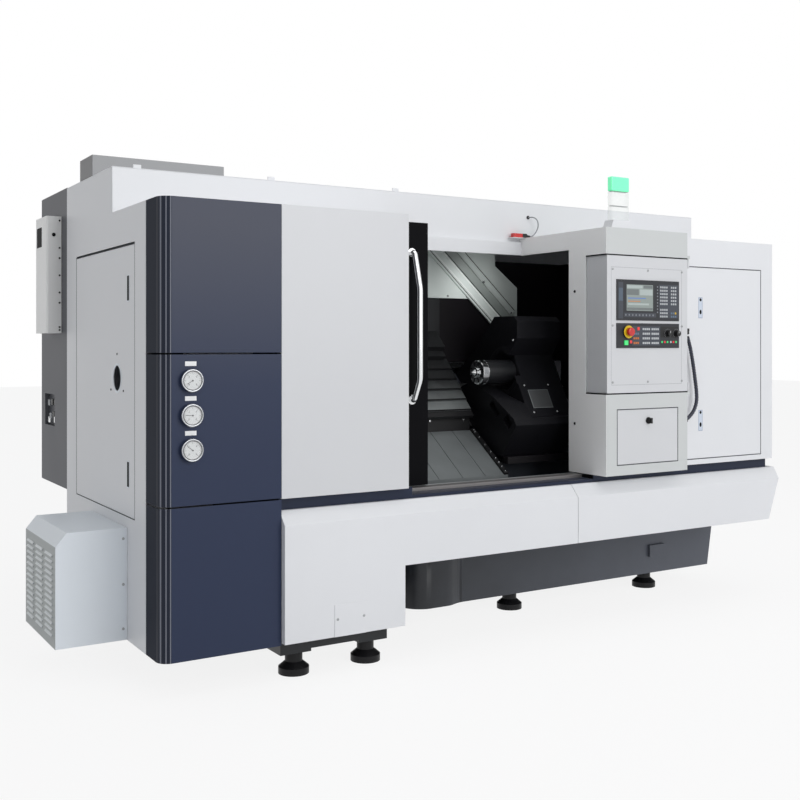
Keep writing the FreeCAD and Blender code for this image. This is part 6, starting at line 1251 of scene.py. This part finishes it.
class LATHE_OT_latches(bpy.types.Operator):
    """Fit the latch paddles of the doors"""

    bl_idname = "lathe.latches"
    bl_label = "Door latches"

    def execute(self, context):
        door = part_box("right_door")[0].y
        plates = bmesh.new()
        ovals = bmesh.new()
        rims = bmesh.new()
        for low in RIGHT_LATCH_HEIGHTS:
            self.paddle(plates, low + 2.0, low + 100.0, 11.5, door, 0.6 * MM)
            self.paddle(rims, low - 1.5, low + 103.5, 15.0, door, 0.3 * MM)
            for height, half_tall in ((30.0, 9.0), (91.0, 6.0)):
                middle = at(RIGHT_LATCH_X, 0, low + height)
                self.oval(ovals, Vector((middle.x, door - 0.6 * MM, middle.z)), 7.5 * MM, half_tall * 1.3 * MM)
        add_form("right_door_latch_rims", rims, finishes["latch rim"], "right_door")
        add_form("right_door_latches", plates, finishes["latch"], "right_door")
        add_form("right_door_latch_keys", ovals, finishes["seal"], "right_door")
        plates = bmesh.new()
        slots = bmesh.new()
        for low in SIDE_LATCH_HEIGHTS:
            block(plates, at(-1.0, 362.0, low), at(2.0, 396.0, low + 106.0), 0.6 * MM)
            block(slots, at(-1.6, 367.0, low + 4.0), at(0.5, 391.0, low + 102.0), 0.4 * MM)
        add_form("side_door_latches", plates, finishes["louvre white"], "side_door")
        add_form("side_door_latch_slots", slots, finishes["seal"], "side_door")
        return {"FINISHED"}

    def paddle(self, form, low, high, half_wide, door, rise):
        """A flat plate on the right door, between two heights."""
        bottom = at(RIGHT_LATCH_X - half_wide, 0, low)
        top = at(RIGHT_LATCH_X + half_wide, 0, high)
        near = Vector((bottom.x, door - rise, bottom.z))
        block(form, near, Vector((top.x, door + 2.0 * MM, top.z)), 1.0 * MM)

    def oval(self, form, centre, half_wide, half_tall, steps=24):
        points = []
        for step in range(steps):
            angle = 2.0 * math.pi * step / steps
            points.append(Vector((half_wide * math.cos(angle), 0.0, half_tall * math.sin(angle))))
        back = [form.verts.new(centre + p) for p in points]
        front = [form.verts.new(centre + p * 0.86 + Vector((0, -0.8 * MM, 0))) for p in points]
        form.faces.new(back)
        form.faces.new(front)
        for i in range(steps):
            j = (i + 1) % steps
            form.faces.new((back[i], back[j], front[j], front[i]))


# The cooling unit's window as Y and Z, and the heights of the screws down its front edge.
WINDOW_LOW = (1520.5, 1775.5)
WINDOW_HIGH = (1619.5, 1869.5)
COOLER_SCREW_HEIGHTS = (1374.0, 1388.0, 1504.0, 1553.0, 1635.0, 1717.0, 1766.0, 1896.0)


class LATHE_OT_left_boxes(bpy.types.Operator):
    """Fit the cooling unit's window, knob and screws, the side port's rim and screws, and the socket plate on
    the cabinet
    """

    bl_idname = "lathe.left_boxes"
    bl_label = "Boxes on the left"

    def execute(self, context):
        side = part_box("cooling_unit")[0].x
        low = at(0, *WINDOW_LOW)
        high = at(0, *WINDOW_HIGH)
        window = bmesh.new()
        near = Vector((side - 0.4 * MM, low.y, low.z))
        block(window, near, Vector((side + 2.0 * MM, high.y, high.z)), 0.4 * MM, 1)
        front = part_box("cooling_unit")[0].y
        turned(window, Vector((at(-36.0, 0, 0).x, front, 1.828)), FORWARD, [
            (0.0, 0.0), (9.0 * MM, 0.0), (8.5 * MM, 3.0 * MM), (6.0 * MM, 4.0 * MM), (0.0, 4.0 * MM),
        ], 32)
        add_form("cooler_window_and_knob", window, finishes["seal"], "frame")
        screws = bmesh.new()
        for z in COOLER_SCREW_HEIGHTS:
            screw_head(screws, (at(-9.0, 0, 0).x, front, z * MM), FORWARD, 4.5 * MM)
        add_form("cooler_screws", screws, finishes["seal"], "frame")
        self.port_ring()
        self.socket_plate()
        return {"FINISHED"}

    def port_ring(self):
        """The pale rim of the round port in the side door, and its three screws."""
        centre = at(0.0, SPINDLE_Y, SPINDLE_Z)
        ring = bmesh.new()
        turned(ring, centre, LEFTWARD, [
            (51.5 * MM, 0.0), (61.0 * MM, 0.0), (61.0 * MM, 1.0 * MM), (59.0 * MM, 1.6 * MM),
            (53.0 * MM, 1.6 * MM), (51.5 * MM, 1.0 * MM), (51.5 * MM, 0.0),
        ], 64)
        add_form("port_ring", ring, finishes["louvre white"], "side_door")
        screws = bmesh.new()
        for degrees in (90.0, 210.0, 330.0):
            angle = math.radians(degrees)
            out = Vector((0.0, math.cos(angle), math.sin(angle)))
            screw_head(screws, centre + out * 98.0 * MM, LEFTWARD, 4.5 * MM, 2.0 * MM)
        add_form("port_screws", screws, finishes["seal"], "side_door")

    def socket_plate(self):
        """Dark back and plain connectors in the cabinet's socket recess."""
        back = bmesh.new()
        block(back, at(24.2, 1561.0, 906.0), at(26.2, 1754.0, 1059.0))
        add_form("socket_back", back, finishes["seal"], "frame")
        for name, finish, places in (
            ("socket_black", "black plastic", ((1590.0, 1020.0), (1650.0, 1020.0), (1620.0, 960.0))),
            ("socket_grey", "grey plastic", ((1710.0, 1015.0), (1680.0, 950.0))),
            ("socket_bright", "bright fastener", ((1705.0, 930.0), (1590.0, 935.0))),
        ):
            form = bmesh.new()
            for y, z in places:
                block(form, at(8.0, y - 19.0, z - 15.0), at(24.3, y + 19.0, z + 15.0), 2.0 * MM)
            add_form(name, form, finishes[finish], "frame")


class LATHE_OT_lamp(bpy.types.Operator):
    """Light the signal lamp and finish the safety switch"""

    bl_idname = "lathe.lamp"
    bl_label = "Lamp and safety switch"

    def execute(self, context):
        parts = sorted(islands("lamp_lenses"), key=lambda b: b[0].z)
        lit = bmesh.new()
        clear = bmesh.new()
        dividers = bmesh.new()
        lenses = [b for b in parts if (b[1] - b[0]).z > 10.0 * MM]
        for low, high in parts:
            if (high - low).z < 10.0 * MM:
                block(dividers, low, high)
        for number, (low, high) in enumerate(lenses):
            form = lit if number == len(lenses) - 1 else clear
            block(form, low, high, 6.0 * MM, 3)
        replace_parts(add_form("lamp_top_lens", lit, finishes["lamp green"], "frame"), "lamp_lenses")
        add_form("lamp_lower_lenses", clear, finishes["lamp clear"], "frame")
        add_form("lamp_dividers", dividers, finishes["grey plastic"], "frame")
        low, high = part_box("safety_switch")
        body = bmesh.new()
        head_start = low.x + 60.0 * MM
        head_end = low.x + 88.0 * MM
        block(body, low, Vector((head_start, high.y, high.z)), 2.0 * MM)
        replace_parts(add_form("switch_red_body", body, finishes["signal red"], "frame"), "safety_switch")
        head = bmesh.new()
        block(head, Vector((head_start, low.y, low.z)), Vector((head_end, high.y, high.z)), 2.0 * MM)
        middle = middle_of((low, high))
        turned(head, Vector((head_end, middle.y, middle.z)), (1, 0, 0), [
            (0.0, 0.0), (8.5 * MM, 0.0), (8.5 * MM, 6.0 * MM), (6.0 * MM, 16.0 * MM), (4.6 * MM, 26.0 * MM),
            (0.0, 26.0 * MM),
        ], 24)
        add_form("switch_black_head", head, finishes["black plastic"], "frame")
        return {"FINISHED"}


# Routes of the two cables, from where each leaves its piece to where it goes back in.
PANEL_CABLE_RADIUS = 9.0
WRAP_DEPTH = 1.2        # how far the wrap's band stands out of the cable's sleeve
PANEL_CABLE_ROUTE = (
    (2668.0, -26.0, 1345.0), (2683.0, -27.0, 1307.0), (2697.0, -28.0, 1250.0), (2708.0, -30.0, 1190.0),
    (2716.0, -33.0, 1128.0), (2722.0, -36.0, 1075.0), (2722.0, -38.0, 1030.0), (2711.0, -36.0, 989.0),
    (2688.0, -32.0, 956.0), (2655.0, -30.0, 934.0),
)
SWITCH_CABLE_RADIUS = 3.0
SWITCH_CABLE_ROUTE = (
    (2156.0, 568.0, 1862.0), (2172.0, 568.0, 1862.0), (2190.0, 565.0, 1880.0), (2203.0, 562.0, 1902.0),
    (2206.0, 559.0, 1928.0), (2196.0, 558.0, 1950.0), (2180.0, 562.0, 1961.0), (2168.0, 574.0, 1963.0),
    (2166.0, 594.0, 1963.0),
)


def route_curve(name, route, radius, finish):
    curve = bpy.data.curves.new(name, "CURVE")
    curve.dimensions = "3D"
    spline = curve.splines.new("NURBS")
    spline.points.add(len(route) - 1)
    for point, place in zip(spline.points, route):
        point.co = (*at(*place), 1.0)
    spline.order_u = 3
    spline.use_endpoint_u = True
    spline.resolution_u = 12
    curve.bevel_depth = radius
    curve.bevel_resolution = 5
    curve.use_fill_caps = True
    if finish is not None:
        curve.materials.append(finish)
    piece = bpy.data.objects.new(name, curve)
    bpy.context.scene.collection.objects.link(piece)
    return piece


def route_line(route):
    """Points along the route's smooth line, in order."""
    holder = route_curve("route", route, 0.0, None)
    bpy.context.view_layer.update()
    mesh = bpy.data.meshes.new_from_object(holder)
    points = [v.co.copy() for v in mesh.vertices]
    bpy.data.objects.remove(holder)
    bpy.data.meshes.remove(mesh)
    return points


class LATHE_OT_cables(bpy.types.Operator):
    """Lay the control box's wrapped cable and the safety switch's thin cable"""

    bl_idname = "lathe.cables"
    bl_label = "Cables"

    def execute(self, context):
        wrap = self.wrap(context.scene.lathe_finish.wrap_pitch)
        core = 2.0 * (PANEL_CABLE_RADIUS - WRAP_DEPTH) * MM
        holder = route_curve("control_cable_route", PANEL_CABLE_ROUTE, core / 2.0, None)
        context.view_layer.update()
        mesh = bpy.data.meshes.new_from_object(holder)
        bpy.data.objects.remove(holder)
        thick = add_piece("control_cable", mesh, finishes["sleeve"], None, 50.0)
        for piece in (thick, wrap):
            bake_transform(piece)
        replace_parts(thick, "panel_cable")
        route_line(PANEL_CABLE_ROUTE)
        radius = SWITCH_CABLE_RADIUS * MM
        thin = route_curve("switch_cable", SWITCH_CABLE_ROUTE, radius, finishes["grey plastic"])
        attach(thin, "frame")
        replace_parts(thin, "safety_switch_cable")
        return {"FINISHED"}

    def wrap(self, pitch):
        """A flat band wound round the thick cable, an open gap between its turns."""
        line = route_line(PANEL_CABLE_ROUTE)
        reach = [0.0]
        for first, second in zip(line, line[1:]):
            reach.append(reach[-1] + (second - first).length)
        total = reach[-1]
        steps_a_turn = 16
        count = int(total / pitch * steps_a_turn)
        inner = (PANEL_CABLE_RADIUS - 1.25) * MM
        outer = PANEL_CABLE_RADIUS * MM
        band = pitch * 0.62
        form = bmesh.new()
        rings = []
        segment = 0
        for step in range(count + 1):
            along = 0.004 + (total - 0.008 - band) * step / count
            corners = []
            for shift, radius in ((0.0, inner), (0.0, outer), (band, outer), (band, inner)):
                target = min(along + shift, total)
                while segment < len(line) - 2 and reach[segment + 1] < target:
                    segment += 1
                while segment > 0 and reach[segment] > target:
                    segment -= 1
                share = (target - reach[segment]) / (reach[segment + 1] - reach[segment])
                spot = line[segment].lerp(line[segment + 1], share)
                ahead = (line[segment + 1] - line[segment]).normalized()
                side = ahead.cross(Vector((0.0, 1.0, 0.0))).normalized()
                other = ahead.cross(side)
                angle = 2.0 * math.pi * step / steps_a_turn
                out = side * math.cos(angle) + other * math.sin(angle)
                corners.append(form.verts.new(spot + out * radius))
            rings.append(corners)
        for first, second in zip(rings, rings[1:]):
            for i in range(4):
                j = (i + 1) % 4
                form.faces.new((first[i], first[j], second[j], second[i]))
        form.faces.new(rings[0])
        form.faces.new(rings[-1])
        return add_form("control_cable_wrap", form, finishes["wrap"], None, 50.0)


# Where the lamps hang; the inner one is inside the covers, over the work area.
KEY_PLACE = Vector((1.6, -9.0, 4.2))
TOP_PLACE = Vector((0.4, -1.6, 6.0))
INNER_PLACE = at(1930.0, 690.0, 1620.0)


class LATHE_OT_studio(bpy.types.Operator):
    """Set the floor, the lamps, the room's light and the camera"""

    bl_idname = "lathe.studio"
    bl_label = "Studio"

    def execute(self, context):
        settings = context.scene.lathe_studio
        floor = self.floor()
        key = self.lamp("key_lamp", KEY_PLACE, Vector((0.1, 0.0, 1.0)), 6.0, settings.key_power)
        top = self.lamp("top_lamp", TOP_PLACE, Vector((0.4, -0.4, 0.0)), 4.5, settings.top_power)
        inner = self.lamp("inner_lamp", INNER_PLACE, at(2120.0, 900.0, 1540.0), 0.15, settings.inner_power)
        inner.visible_camera = False
        inner.visible_glossy = False
        self.room(context.scene, settings.room_light)
        camera_data = bpy.data.cameras.new("camera")
        camera_data.lens = settings.lens
        camera_data.shift_y = settings.rise
        camera_data.clip_end = 200.0
        camera = bpy.data.objects.new("camera", camera_data)
        camera.location = settings.camera_place
        camera.rotation_euler = (math.pi / 2.0, 0.0, settings.camera_turn)
        context.scene.collection.objects.link(camera)
        context.scene.camera = camera
        context.scene.view_settings.view_transform = "Standard"
        return {"FINISHED"}

    def floor(self):
        form = bmesh.new()
        bmesh.ops.create_grid(form, x_segments=1, y_segments=1, size=30.0)
        mesh = finish_mesh("floor", form)
        floor = bpy.data.objects.new("floor", mesh)
        bpy.context.scene.collection.objects.link(floor)
        pale = Finish("pale floor", (0.84, 0.84, 0.85), 0.75)
        seen = pale.node("ShaderNodeLightPath", output="Is Camera Ray")
        mirrored = pale.node("ShaderNodeLightPath", output="Is Glossy Ray")
        through = pale.node("ShaderNodeLightPath", output="Is Transmission Ray")
        glow = pale.node("ShaderNodeEmission", {}, {"Color": (1.0, 1.0, 1.0, 1.0), "Strength": 1.0})
        blend = pale.tree.nodes.new("ShaderNodeMixShader")
        pale.tree.links.new(((seen + mirrored + through).clamped() * 0.86).socket, blend.inputs[0])
        pale.tree.links.new(pale.shader.outputs[0], blend.inputs[1])
        pale.tree.links.new(glow.socket, blend.inputs[2])
        pale.tree.links.new(blend.outputs[0], pale.tree.nodes["Material Output"].inputs["Surface"])
        mesh.materials.append(pale.material)
        return floor

    def lamp(self, name, place, target, size, power):
        data = bpy.data.lights.new(name, "AREA")
        data.shape = "SQUARE"
        data.size = size
        data.energy = power
        lamp = bpy.data.objects.new(name, data)
        lamp.location = place
        lamp.rotation_euler = (target - place).to_track_quat("-Z", "Y").to_euler()
        bpy.context.scene.collection.objects.link(lamp)
        return lamp

    def room(self, scene, strength):
        """Even light on the machine, and plain white wherever the room itself is seen."""
        world = bpy.data.worlds.new("room")
        world.use_nodes = True
        scene.world = world
        tree = world.node_tree
        tree.nodes.clear()
        path = tree.nodes.new("ShaderNodeLightPath")
        light = tree.nodes.new("ShaderNodeBackground")
        light.inputs["Strength"].default_value = strength
        white = tree.nodes.new("ShaderNodeBackground")
        white.inputs["Color"].default_value = (1.0, 1.0, 1.0, 1.0)
        light.inputs["Color"].default_value = (0.97, 0.985, 1.0, 1.0)
        add = tree.nodes.new("ShaderNodeMath")
        add.operation = "MAXIMUM"
        more = tree.nodes.new("ShaderNodeMath")
        more.operation = "MAXIMUM"
        blend = tree.nodes.new("ShaderNodeMixShader")
        output = tree.nodes.new("ShaderNodeOutputWorld")
        tree.links.new(path.outputs["Is Camera Ray"], add.inputs[0])
        tree.links.new(path.outputs["Is Glossy Ray"], add.inputs[1])
        tree.links.new(add.outputs[0], more.inputs[0])
        tree.links.new(path.outputs["Is Transmission Ray"], more.inputs[1])
        tree.links.new(more.outputs[0], blend.inputs[0])
        tree.links.new(light.outputs[0], blend.inputs[1])
        tree.links.new(white.outputs[0], blend.inputs[2])
        tree.links.new(blend.outputs[0], output.inputs["Surface"])


class LATHE_PT_panel(bpy.types.Panel):
    """The lathe's settings and the steps that dress it"""

    bl_idname = "LATHE_PT_panel"
    bl_label = "Lathe"
    bl_space_type = "VIEW_3D"
    bl_region_type = "UI"
    bl_category = "Lathe"

    def draw(self, context):
        for group in (context.scene.lathe_finish, context.scene.lathe_studio):
            for name in group.bl_rna.properties.keys():
                if name not in ("rna_type", "name"):
                    self.layout.prop(group, name)
        for step in STEPS:
            self.layout.operator(step.bl_idname)


STEPS = (
    LATHE_OT_finishes, LATHE_OT_covers, LATHE_OT_seams, LATHE_OT_gauges, LATHE_OT_control_panel,
    LATHE_OT_fasteners, LATHE_OT_centre, LATHE_OT_latches, LATHE_OT_left_boxes, LATHE_OT_lamp, LATHE_OT_cables,
    LATHE_OT_studio,
)
CLASSES = (LatheFinishSettings, LatheStudioSettings, *STEPS, LATHE_PT_panel)


def register():
    for kind in CLASSES:
        bpy.utils.register_class(kind)
    bpy.types.Scene.lathe_finish = bpy.props.PointerProperty(type=LatheFinishSettings)
    bpy.types.Scene.lathe_studio = bpy.props.PointerProperty(type=LatheStudioSettings)


def unregister():
    del bpy.types.Scene.lathe_studio
    del bpy.types.Scene.lathe_finish
    for kind in reversed(CLASSES):
        bpy.utils.unregister_class(kind)


def main():
    register()
    for step in STEPS:
        group, action = step.bl_idname.split(".")
        getattr(getattr(bpy.ops, group), action)()


if __name__ == "__main__":
    main()
